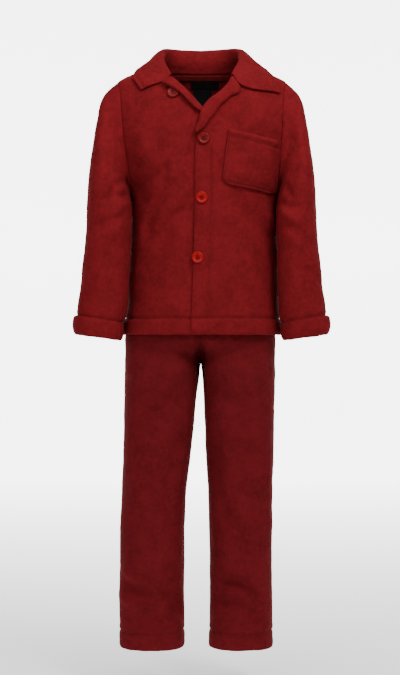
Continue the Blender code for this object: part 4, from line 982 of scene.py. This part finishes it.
# ---- small pieces on the jacket ----
def pocket_places(rows):
    """Grid over the pocket, as places seen from the front, and each point's share across and down."""
    top_left, top_right, low_right, low_left = np.array(
        [POCKET_CORNERS["across"], POCKET_CORNERS["height"]], float).T
    size = np.linalg.norm(low_right - low_left)
    down = np.linspace(0, 1, rows + 1)
    corner = 1 - POCKET_ROUND / size * np.cos(np.linspace(0.0, math.pi / 2, 8))
    down = np.concatenate([down[down < 1 - POCKET_ROUND / size], corner])
    below = np.clip((down * size - (size - POCKET_ROUND)) / POCKET_ROUND, 0, 1)
    draw_in = POCKET_ROUND * (1 - np.sqrt(1 - below ** 2)) / size
    share = np.linspace(0, 1, POCKET_COLUMNS + 1)
    across = draw_in[:, None] + share[None, :] * (1 - 2 * draw_in[:, None])
    from_left = top_left + (low_left - top_left) * down[:, None]
    from_right = top_right + (low_right - top_right) * down[:, None]
    grid = from_left[:, None] + (from_right - from_left)[:, None] * across[..., None]
    return grid, across, np.repeat(down[:, None], POCKET_COLUMNS + 1, axis=1), size


def make_pocket(material):
    """The pocket, and the lines of its hem's and edge's stitching as places and normals."""
    grid, across, down, size = pocket_places(POCKET_ROWS)
    laid, normal = front_place(grid[..., 0], grid[..., 1])
    from_top = down * size
    from_edge = np.minimum(np.minimum(across, 1 - across) * size, (1 - down) * size)
    puff = POCKET_PUFF * ease((from_edge - 3) / 16) * ease(from_top / 4)
    puff += stitched(from_top, POCKET_HEM, POCKET_SEWING)
    puff -= POCKET_DIP * hump(from_edge - POCKET_STITCH, 1.5) * ease((from_top - 2) / 4)
    lift = ease(from_top / 6) * POCKET_LIFT
    inner = laid + normal * POCKET_GAP
    outer = inner + normal * (wall(from_top < POCKET_HEM) + puff + lift)[..., None]
    hem_row = int(np.argmin(np.abs(down[:, 0] * size - POCKET_HEM)))
    # A line inside the pocket's sides and lower edge, seen from the front.
    inset = POCKET_STITCH / size
    grid, across, down, _ = pocket_places(2 * POCKET_ROWS)
    left, right = (
        np.array([
            [np.interp(place, across[row], grid[row, :, axis]) for axis in (0, 1)]
            for row in range(len(grid)) if down[row, 0] < 1 - inset
        ])
        for place in (inset, 1 - inset)
    )
    share = np.linspace(0, 1, 40)[1:-1, None]
    edge = np.concatenate([left, left[-1] + (right[-1] - left[-1]) * share, right[::-1]])
    lines = (laid[hem_row, 1:-1], normal[hem_row, 1:-1]), front_place(edge[:, 0], edge[:, 1])
    return add_shell("chest_pocket_cloth", outer, inner, material), lines


def inside_strip(name, angles, top, depth, rows, thick, material):
    """A strip that lies on the inner face of the back. Its angles are given for any heights."""
    levels = np.linspace(top, top - depth, rows)[:, None]
    angle, height = np.broadcast_arrays(angles(levels), levels)
    base, normal = body_cloth(angle, height)
    outer = base - normal * (CLOTH + LAID_GAP)
    return add_shell(name, outer, outer - normal * thick, material, lumps=0.0)


# ---- trousers ----
leg_front, leg_back = (smooth(LEG, column) for column in ("front", "back"))
hip_half, hip_front, hip_back = (smooth(HIP, column) for column in ("half", "front", "back"))


def trouser_form(side, share, height):
    """Outer face of one leg and its half of the hips. Share 0 is the side seam, 1 the inseam or
    centre front seam, -1 the inseam or centre back seam."""
    share, height = np.broadcast_arrays(np.asarray(share, float), np.asarray(height, float))
    word = "left" if side > 0 else "right"
    turn = math.pi * np.abs(share)
    low, high = np.minimum(height, CROTCH), np.maximum(height, CROTCH)
    leg_depth, hip_depth = (
        np.sign(share) * np.where(share >= 0, front(level), back(level))
        for front, back, level in ((leg_front, leg_back, low), (hip_front, hip_back, high)))
    leg_half = smooth(LEG, word + "_half")(low) * squared(np.cos(turn))
    leg_x = side * (smooth(LEG, word + "_centre")(low) + leg_half)
    leg_y = -leg_depth * squared(np.abs(np.sin(turn)))
    hip_x = HIP_CENTRE + side * hip_half(high) * squared(np.cos(turn / 2))
    hip_y = -hip_depth * squared(np.abs(np.sin(turn / 2)))
    blend = ease((height - CROTCH) / CROTCH_RISE)
    return np.stack([leg_x + (hip_x - leg_x) * blend, leg_y + (hip_y - leg_y) * blend, height], axis=-1)


def trouser_cloth(side, share, height):
    base = trouser_form(side, share, height)
    share, height = np.broadcast_arrays(np.asarray(share, float), np.asarray(height, float))
    around = trouser_form(side, share + 0.02, height) - trouser_form(side, share - 0.02, height)
    up = trouser_form(side, share, height + 2) - trouser_form(side, share, height - 2)
    normal = unit(np.cross(around, up)) * -side
    at_seam = np.abs(share) > 0.999
    above = height > CROTCH + 0.5
    normal = np.where((at_seam & above)[..., None], unit(normal * [0, 1, 1]), normal)
    normal = np.where((at_seam & ~above)[..., None], np.array([-side, 0.0, 0.0]), normal)
    rise = np.zeros(share.shape)
    for *crease, face in LEG_CREASES[side]:
        rise += LEG_CREASE_DEPTH * creased([crease], base[..., 0], base[..., 2]) * (share * face >= 0)
    rise = rise * ease(np.abs(share) / SIDE_FADE) * ease((1 - np.abs(share)) / SIDE_FADE)
    # The two halves dip into a fold where they meet in front, deepest just above the crotch.
    fold_x, fold_z, fold_width, fold_height, fold_depth = CROTCH_FOLD
    fold = hump(base[..., 0] - fold_x, fold_width) * hump(height - fold_z, fold_height)
    rise = rise - fold_depth * fold * (share > 0)
    base = base + normal * rise[..., None]
    return base + normal * stitched(height - LEG_HEM, HEM_DEPTH, LEG_SEWING)[..., None], base, normal


def make_trouser_panel(name, side, facing, material):
    shares = np.linspace(0, 1, LEG_COLUMNS + 1) * facing
    heights = np.concatenate([steps(LEG_HEM, CROTCH)[:-1], steps(CROTCH, WAIST)])
    share, height = np.meshgrid(shares, heights)
    outer, base, normal = trouser_cloth(side, share, height)
    hem, casing = LEG_HEM + HEM_DEPTH - height, height - WAIST + WAIST_CASING
    inner = base - normal * wall(ease(hem / HEM_EASE) + ease(casing / HEM_EASE))[..., None]
    above = heights > CROTCH + 0.5
    # Both halves meet on one line, halfway between their own, and close over it.
    right_end, left_end = (trouser_form(leg, 1.0, heights)[:, 0] for leg in (-1, 1))
    centre = (right_end + left_end) / 2 - side * CENTRE_CLOSE
    shift = centre - (left_end if side > 0 else right_end)
    shift = np.where(above, shift, 0.0)[:, None] * ease((np.abs(share) - 0.8) / 0.2)
    for grid in (outer, inner):
        grid[..., 0] += shift
        grid[:, 0, 1] -= facing * SEAM_GAP / 2
        grid[~above, -1, 1] -= facing * SEAM_GAP / 2
        grid[above, -1, 0] = centre[above]
    return add_shell(name, outer, inner, material)


# ---- sewing ----
def laid_on(piece, points, normals):
    """Each point moved along its normal to the piece's surface, and the surface normal there."""
    surface = BVHTree.FromPolygons(
        [vertex.co.copy() for vertex in piece.data.vertices],
        [polygon.vertices[:] for polygon in piece.data.polygons],
    )
    places, facings = [], []
    for point, normal in zip(points, unit(normals)):
        start = Vector((point + normal * SEW_REACH) * MM)
        place, facing, _, _ = surface.ray_cast(start, Vector(-normal), 2 * SEW_REACH * MM)
        if place is not None:
            places.append(np.array(place) + np.array(facing) * STITCH_LIFT * MM)
            facings.append(np.array(facing))
    return np.array(places), np.array(facings)


def node(tree, kind, settings=None, **inputs):
    """One node. An input, named as its socket or _ and its number, takes a value or another output."""
    made = tree.nodes.new(kind)
    for key, value in (settings or {}).items():
        setattr(made, key, value)
    for key, value in inputs.items():
        socket = made.inputs[int(key[1:]) if key[0] == "_" else key.replace("_", " ")]
        if isinstance(value, bpy.types.NodeSocket):
            tree.links.new(value, socket)
        else:
            socket.default_value = value
    return made


def stitching_tree():
    """Geometry Nodes: a row of thread beads along a seam line, each on the cloth that it faces."""
    tree = bpy.data.node_groups.new("row_of_stitches", "GeometryNodeTree")
    for name, way, kind in (
        ("Seam line", "INPUT", "Geometry"), ("Pitch", "INPUT", "Float"), ("Stitch length", "INPUT", "Float"),
        ("Thread", "INPUT", "Float"), ("Finish", "INPUT", "Material"), ("Stitches", "OUTPUT", "Geometry"),
    ):
        tree.interface.new_socket(name, in_out=way, socket_type="NodeSocket" + kind)
    given = tree.nodes.new("NodeGroupInput").outputs

    def made(kind, settings=None, **inputs):
        return node(tree, kind, settings, **inputs).outputs[0]

    line = made("GeometryNodeMeshToCurve", Mesh=given["Seam line"])
    even = made("GeometryNodeResampleCurve", dict(mode="LENGTH"), Curve=line, Length=given["Pitch"])
    facing = made("GeometryNodeInputNamedAttribute", dict(data_type="FLOAT_VECTOR"), Name="facing")
    along = made(
        "FunctionNodeAlignRotationToVector", dict(axis="X"), Vector=made("GeometryNodeInputTangent"))
    turned = made(
        "FunctionNodeAlignRotationToVector", dict(axis="Z", pivot_axis="X"), Rotation=along, Vector=facing)
    bead = made("GeometryNodeMeshUVSphere", Segments=6, Rings=5, Radius=0.5)
    size = made("ShaderNodeCombineXYZ", X=given["Stitch length"], Y=given["Thread"], Z=given["Thread"])
    placed = made("GeometryNodeInstanceOnPoints", Points=even, Instance=bead, Rotation=turned, Scale=size)
    real = made("GeometryNodeRealizeInstances", Geometry=placed)
    smoothed = made("GeometryNodeSetShadeSmooth", Geometry=real)
    finished = made("GeometryNodeSetMaterial", Geometry=smoothed, Material=given["Finish"])
    node(tree, "NodeGroupOutput", Stitches=finished)
    return tree


def settled_mesh(piece):
    """The piece's modifiers are made part of its own mesh."""
    ready = piece.evaluated_get(bpy.context.evaluated_depsgraph_get())
    piece.data = bpy.data.meshes.new_from_object(ready)
    piece.modifiers.clear()


def sew(name, lines, material):
    """A mesh of stitches along seam lines, given as places and facings in metres."""
    points, facings = (np.concatenate([line[part] for line in lines]) for part in (0, 1))
    ends = np.cumsum([len(places) for places, _ in lines])
    edges = [(i, i + 1) for i in range(len(points) - 1) if i + 1 not in ends]
    mesh = bpy.data.meshes.new(name)
    mesh.from_pydata(points, edges, [])
    attribute = mesh.attributes.new("facing", "FLOAT_VECTOR", "POINT")
    attribute.data.foreach_set("vector", facings.reshape(-1))
    piece = linked(name, mesh)
    row = piece.modifiers.new("stitches", "NODES")
    row.node_group = stitching
    values = {
        "Pitch": STITCH_PITCH * MM, "Stitch length": STITCH_LENGTH * MM, "Thread": THREAD * MM,
        "Finish": material,
    }
    for item in stitching.interface.items_tree:
        if item.name in values:
            row[item.identifier] = values[item.name]
    settled_mesh(piece)
    return piece


# ---- finishes ----
def linear(colour):
    """An sRGB hex colour as linear red, green, blue and 1."""
    parts = [int(colour[i:i + 2], 16) / 255 for i in (1, 3, 5)]
    return tuple(c / 12.92 if c <= 0.04045 else ((c + 0.055) / 1.055) ** 2.4 for c in parts) + (1.0,)


def finish(name, **values):
    material = bpy.data.materials.new(name)
    material.use_nodes = True
    tree = material.node_tree
    shader = tree.nodes["Principled BSDF"]
    for key, value in values.items():
        shader.inputs[key.replace("_", " ")].default_value = value
    return material, tree, shader


def object_place(tree):
    return node(tree, "ShaderNodeTexCoord").outputs["Object"]


def noise(tree, size, detail=2.0, roughness=0.5, distortion=0.0):
    """Noise over the piece, with features of a real size in millimetres."""
    return node(
        tree, "ShaderNodeTexNoise", Vector=object_place(tree), Scale=1 / (size * MM), Detail=detail,
        Roughness=roughness, Distortion=distortion,
    ).outputs["Fac"]


def spread(tree, value, low, high, to_low=0.0, to_high=1.0):
    return node(
        tree, "ShaderNodeMapRange", dict(interpolation_type="SMOOTHSTEP"), Value=value,
        From_Min=low, From_Max=high, To_Min=to_low, To_Max=to_high,
    ).outputs[0]


def mixed(tree, share, first, second):
    return node(tree, "ShaderNodeMix", dict(data_type="RGBA"), _0=share, _6=first, _7=second).outputs[2]


def math_node(tree, operation, first, second):
    return node(tree, "ShaderNodeMath", dict(operation=operation), _0=first, _1=second).outputs[0]


def shade(tree, shader, share, first, second):
    """Base colour between two hex colours."""
    tree.links.new(mixed(tree, share, linear(first), linear(second)), shader.inputs["Base Color"])


def emboss(tree, shader, strength, depth, height):
    """Relief of a real depth in millimetres."""
    relief = node(tree, "ShaderNodeBump", Strength=strength, Distance=depth * MM, Height=height)
    tree.links.new(relief.outputs[0], shader.inputs["Normal"])


def plush_fleece(name, deep, middle, bright, sheen):
    """Coral fleece: knitted polyester, brushed and sheared to a dense pile about 3 mm deep. The pile
    lies in soft patches that catch the light differently, and its tips glow where they stand on edge."""
    material, tree, shader = finish(
        name, Roughness=0.96, Metallic=0.0, IOR=1.46, Sheen_Weight=sheen, Sheen_Roughness=0.4,
        Sheen_Tint=linear("#C83C3C"), Specular_IOR_Level=0.05,
    )
    patch = spread(tree, noise(tree, 26, 2.0, 0.5, 0.4), 0.32, 0.68)
    tuft = spread(tree, noise(tree, 6.5, 3.0, 0.6), 0.3, 0.7)
    fibre = noise(tree, 1.7, 2.0, 0.6)
    lying = mixed(tree, patch, linear(deep), linear(middle))
    raised = mixed(tree, math_node(tree, "MULTIPLY", tuft, 0.45), lying, linear(bright))
    shaded = mixed(tree, spread(tree, fibre, 0.35, 0.7, 0.0, 0.16), raised, linear(deep))
    tree.links.new(shaded, shader.inputs["Base Color"])
    tufts, fibres = math_node(tree, "MULTIPLY", tuft, 0.7), math_node(tree, "MULTIPLY", fibre, 0.5)
    emboss(tree, shader, 0.5, 1.2, math_node(tree, "ADD", tufts, fibres))
    return material


def woven_cloth(name, colour, dark, pitch, roughness, sheen):
    """Plain-woven tape or satin label: two crossing sets of threads at their real spacing."""
    material, tree, shader = finish(
        name, Roughness=roughness, Metallic=0.0, Sheen_Weight=sheen, Specular_IOR_Level=0.15)
    weave = math_node(tree, "MULTIPLY", *(
        node(
            tree, "ShaderNodeTexWave", dict(bands_direction=direction), Vector=object_place(tree),
            Scale=math.pi / (10 * pitch * MM), Distortion=0.4, Detail=1.0,
        ).outputs["Fac"] for direction in ("X", "Z")
    ))
    worn = spread(tree, noise(tree, 9), 0.3, 0.7)
    shade(tree, shader, math_node(tree, "MULTIPLY", math_node(tree, "ADD", weave, worn), 0.5), dark, colour)
    emboss(tree, shader, 0.5, 0.25, weave)
    return material


def moulded_resin(name, colour, dark):
    """Cast polyester resin button, tumbled: a clear skin over a faintly clouded red body."""
    material, tree, shader = finish(
        name, Roughness=0.5, Metallic=0.0, IOR=1.54, Coat_Weight=0.03, Coat_Roughness=0.3,
        Specular_IOR_Level=0.12,
    )
    shade(tree, shader, spread(tree, noise(tree, 5), 0.3, 0.75), dark, colour)
    scuff = spread(tree, noise(tree, 1.2, 3.0), 0.4, 0.8, 0.42, 0.58)
    tree.links.new(scuff, shader.inputs["Roughness"])
    return material


def spun_thread(name, colour, dark):
    """Spun polyester sewing thread, sunk in the pile, slightly fuzzy. Its colours are far darker than the
    cloth: partly the thread's own colour, partly painted shade of the groove that the stitching pulls into
    the pile.
    """
    material, tree, shader = finish(
        name, Roughness=0.85, Metallic=0.0, Sheen_Weight=0.1, Specular_IOR_Level=0.1)
    shade(tree, shader, noise(tree, 1.5), dark, colour)
    emboss(tree, shader, 0.6, 0.2, noise(tree, 0.5, 1.0))
    return material


# ---- buttons ----
def circle(sides):
    turns = 2 * math.pi * np.arange(sides) / sides
    return np.stack([np.cos(turns), np.sin(turns)], axis=-1)


def make_button(name, across, height, turn, resin):
    """Turned rim, dished middle and four thread holes, lying on the front. Also its threads' tubes."""
    laid, normal = front_place(np.array(across), np.array(height))
    if name == "button_top":
        laid = stepped_back(-1, laid, normal)
    sideways = unit(np.cross([0.0, 0.0, 1.0], normal))
    up = np.cross(normal, sideways)
    origin = laid + normal * BUTTON_GAP

    def placed(flat, rise):
        """Places across the button at a height over the cloth, in metres."""
        return (origin + flat[..., :1] * sideways + flat[..., 1:] * up + normal * rise) * MM

    profile = [placed(radius * circle(BUTTON_SIDES), rise) for radius, rise in BUTTON_PROFILE]
    button = add_tubes(name + "_resin", [profile], resin)
    holes = HOLE_PLACE * np.array([
        (math.cos(angle), math.sin(angle)) for angle in np.radians(turn + 45 + 90 * np.arange(4))])
    ends, bore = (-HOLE_PAST, BUTTON_THICK + HOLE_PAST), HOLE_RADIUS * circle(HOLE_SIDES)
    bores = [[placed(hole + bore, rise) for rise in ends] for hole in holes]
    cutter = add_tubes(name + "_cutter", bores, resin)
    cut = button.modifiers.new("thread_holes", "BOOLEAN")
    cut.object = cutter
    cut.solver = "EXACT"
    settled_mesh(button)
    bpy.data.objects.remove(cutter, do_unlink=True)
    button.data.materials.clear()
    button.data.materials.append(resin)
    button.data.shade_smooth()
    button.data.set_sharp_from_angle(angle=math.radians(SHARP_TURN))
    threads = []
    for first, second in ((0, 1), (2, 3)):
        run = holes[second] - holes[first]
        for strand in STRANDS:
            beside = unit(np.array([-run[1], run[0]])) * strand
            path = np.array([
                placed(holes[first] + run * share + beside,
                       BUTTON_PROFILE[-1][1] - THREAD_SUNK + THREAD_ARCH * math.sin(math.pi * share) ** 0.5)
                for share in np.linspace(0, 1, 9)
            ])
            tangent = unit(np.gradient(path, axis=0))
            one = unit(np.cross(tangent, [0.0, 0.3, 1.0]))
            two = np.cross(tangent, one)
            round_about = circle(6) * STRAND_RADIUS * MM
            threads.append([
                place + round_about[:, :1] * across_one + round_about[:, 1:] * across_two
                for place, across_one, across_two in zip(path, one, two)
            ])
    return button, threads


# ---- stage, lights and camera ----
def make_stage():
    """A pale floor that curves up behind into a glowing backdrop, and soft light from large panels."""
    profile = [(-STAGE_FRONT, 0.0), (STAGE_BACK, 0.0)]
    for turn in np.radians(np.linspace(10, 90, 9)):
        profile.append((STAGE_BACK + STAGE_ROUND * math.sin(turn), STAGE_ROUND * (1 - math.cos(turn))))
    profile.append((STAGE_BACK + STAGE_ROUND, STAGE_TALL))
    points = [(x, y, FLOOR + z) for y, z in profile for x in (-STAGE_HALF, STAGE_HALF)]
    faces = [(row, row + 1, row + 3, row + 2) for row in range(0, len(points) - 2, 2)]
    mesh = bpy.data.meshes.new("studio_floor_and_backdrop")
    mesh.from_pydata(points, [], faces)
    mesh.shade_smooth()
    paper, tree, shader = finish(
        "matt_studio_paper", Roughness=0.95, Metallic=0.0, Specular_IOR_Level=0.1,
        Emission_Color=linear("#FFFFFF"),
    )
    shade(tree, shader, spread(tree, noise(tree, 600), 0.3, 0.7), "#F6F6F6", "#FAFAFA")
    depth = node(tree, "ShaderNodeSeparateXYZ", Vector=object_place(tree)).outputs["Y"]
    glow = spread(tree, depth, GLOW_START, STAGE_BACK + STAGE_ROUND, 0.0, GLOW)
    tree.links.new(glow, shader.inputs["Emission Strength"])
    mesh.materials.append(paper)
    linked("studio_floor_and_backdrop", mesh)
    world = bpy.data.worlds.new("pale_room")
    bpy.context.scene.world = world
    world.use_nodes = True
    air = world.node_tree.nodes["Background"]
    air.inputs["Color"].default_value = linear("#FFFFFF")
    air.inputs["Strength"].default_value = WORLD_LIGHT
    for name, place, target, width, height, power in LIGHTS:
        light = bpy.data.lights.new(name, "AREA")
        light.shape = "RECTANGLE"
        light.size, light.size_y, light.energy = width, height, power
        lamp = linked(name, light)
        lamp.location = place
        lamp.rotation_euler = (Vector(target) - Vector(place)).to_track_quat("-Z", "Y").to_euler()


def make_camera():
    camera = bpy.data.cameras.new("camera")
    camera.sensor_width = camera.sensor_height = 36.0
    camera.lens = CAMERA_LENS
    camera.clip_end = 50.0
    viewer = linked("camera", camera)
    viewer.location = CAMERA_PLACE
    viewer.rotation_euler = (math.pi / 2, 0.0, 0.0)
    bpy.context.scene.camera = viewer


# ---- the whole set ----
def settle(piece, slot, *nodes):
    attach(piece, "root")
    if nodes:
        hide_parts(*nodes)


def settle_cloth(piece, slot, name):
    settle(piece, slot, name)


def make_jacket(fleece, thread):
    left, *left_grids = make_front(
        "jacket_front_left_cloth", 1, UPPER_EDGE, UPPER_ROLL, UPPER_LAPEL, UPPER_LAPEL_GAP, fleece)
    right, *right_grids = make_front(
        "jacket_front_right_cloth", -1, UNDER_EDGE, UNDER_ROLL, UNDER_LAPEL, UNDER_LAPEL_GAP, fleece)
    back, *back_grids = make_back(fleece)
    made = {"jacket_front_left": left, "jacket_front_right": right, "jacket_back": back}
    cuffs = {}
    for name, side, front, column in (
        ("sleeve_left", 1, left_grids, 0), ("sleeve_right", -1, right_grids, -1),
    ):
        edges = [grid[armhole, 0] for grid in front], [grid[armhole, column] for grid in back_grids]
        made[name], cuffs[name] = make_sleeve(name + "_cloth", side, *edges, fleece)
    made["collar"], collar_line = make_collar(*neck_seam(left_grids, right_grids, back_grids), fleece)
    made["chest_pocket"], pocket_lines = make_pocket(fleece)
    for name, piece in made.items():
        settle_cloth(piece, "jacket_fleece", name)
    # Sewing: hem, facing, cuffs, collar edge and pocket.
    lines = []
    height = JACKET_HEM + HEM_DEPTH
    free_edge = math.degrees(float(front_angle(upper_edge(height), height)))
    for name, first, last in (
        ("jacket_front_left", 2, free_edge - 1), ("jacket_front_right", free_edge + 2, 178),
        ("jacket_back", 182, 358),
    ):
        angles = np.radians(np.arange(first, last, SEW_TURN))
        lines.append(laid_on(made[name], *body_cloth(angles, np.full(len(angles), height))))
    heights = steps(JACKET_HEM + HEM_DEPTH, LAPEL_FOOT - 2 * FACING_TOP)
    lines.append(laid_on(left, *front_place(upper_edge(heights) + PLACKET_WIDTH, heights)))
    for name, loop in cuffs.items():
        loop = np.concatenate([loop, loop[:1]])
        lines.append(laid_on(made[name], loop, (loop - loop.mean(axis=0)) * [1, 1, 0]))
    lines.append(laid_on(made["collar"], *collar_line))
    lines += [laid_on(made["chest_pocket"], *line) for line in pocket_lines]
    settle(sew("jacket_stitches", lines, thread), "jacket_fleece")


def make_trim(tape, label):
    angles = np.radians(np.linspace(*TAPE_ANGLES, 80))
    strip = inside_strip(
        "neck_tape_cloth", lambda levels: angles, TAPE_TOP, TAPE_DEPTH, 6, TAPE_CLOTH, tape)
    settle(strip, "neck_tape", "neck_tape")
    for name, place, width, top, depth, columns, rows in LABELS:
        across = place + np.linspace(-width / 2, width / 2, columns)

        def turns(levels):
            return -plan_turn((across - body_centre(levels)) / body_half(levels))

        strip = inside_strip(name + "_cloth", turns, top, depth, rows, LABEL_CLOTH, label)
        settle(strip, "label_cloth", name)


def make_buttons(bright, shaded, thread):
    threads = []
    for name, across, height, turn in BUTTONS:
        # button_1 and button_top take a darker copy of the same resin: painted shade, for the lapel's fold
        # that shades them.
        resin = shaded if name in ("button_1", "button_top") else bright
        button, tubes = make_button(name, across, height, turn, resin)
        settle(button, "button_plastic", name)
        threads += tubes
    settle(add_tubes("button_threads", threads, thread), "button_plastic")


def make_trousers(fleece, thread):
    lines = []
    for word, side in (("right", -1), ("left", 1)):
        for part, facing in (("front", 1), ("back", -1)):
            name = "trouser_" + part + "_" + word
            piece = make_trouser_panel(name + "_cloth", side, facing, fleece)
            settle_cloth(piece, "trouser_fleece", name)
            share = np.linspace(0.01, 0.99, SEW_PLACES) * facing
            points, _, normals = trouser_cloth(side, share, np.full(len(share), LEG_HEM + HEM_DEPTH))
            lines.append(laid_on(piece, points, normals))
    settle(sew("trouser_stitches", lines, thread), "trouser_fleece")


stitching = stitching_tree()
make_camera()
make_stage()
# Both threads are much darker than the cloth: partly their own colour, partly painted shade of the
# stitching's groove.
jacket_thread = spun_thread("spun_polyester_thread_red_and_painted_shade", "#340709", "#260506")
trouser_thread = spun_thread("spun_polyester_thread_dark_red_and_painted_shade", "#2C0607", "#200405")
make_jacket(plush_fleece("plush_fleece_jacket", "#611418", "#6E171C", "#7E1C22", 0.08), jacket_thread)
make_trim(
    woven_cloth("cotton_neck_tape", "#7C1214", "#520A0C", 0.7, 0.9, 0.05),
    woven_cloth("black_satin_label", "#141416", "#0A0A0C", 0.5, 0.6, 0.02),
)
# The second resin is the first one darkened: painted shade for the buttons under the lapel's fold.
make_buttons(
    moulded_resin("cast_polyester_button_resin", "#A80E13", "#8A0A0E"),
    moulded_resin("cast_polyester_button_resin_painted_shade", "#7C0C10", "#64080C"),
    jacket_thread,
)
# The trousers' fleece is a darker copy of the jacket's: painted shade, as the legs hang lower and get less
# of the key light.
make_trousers(plush_fleece("plush_fleece_trousers", "#561216", "#60151A", "#6E191F", 0.07), trouser_thread)
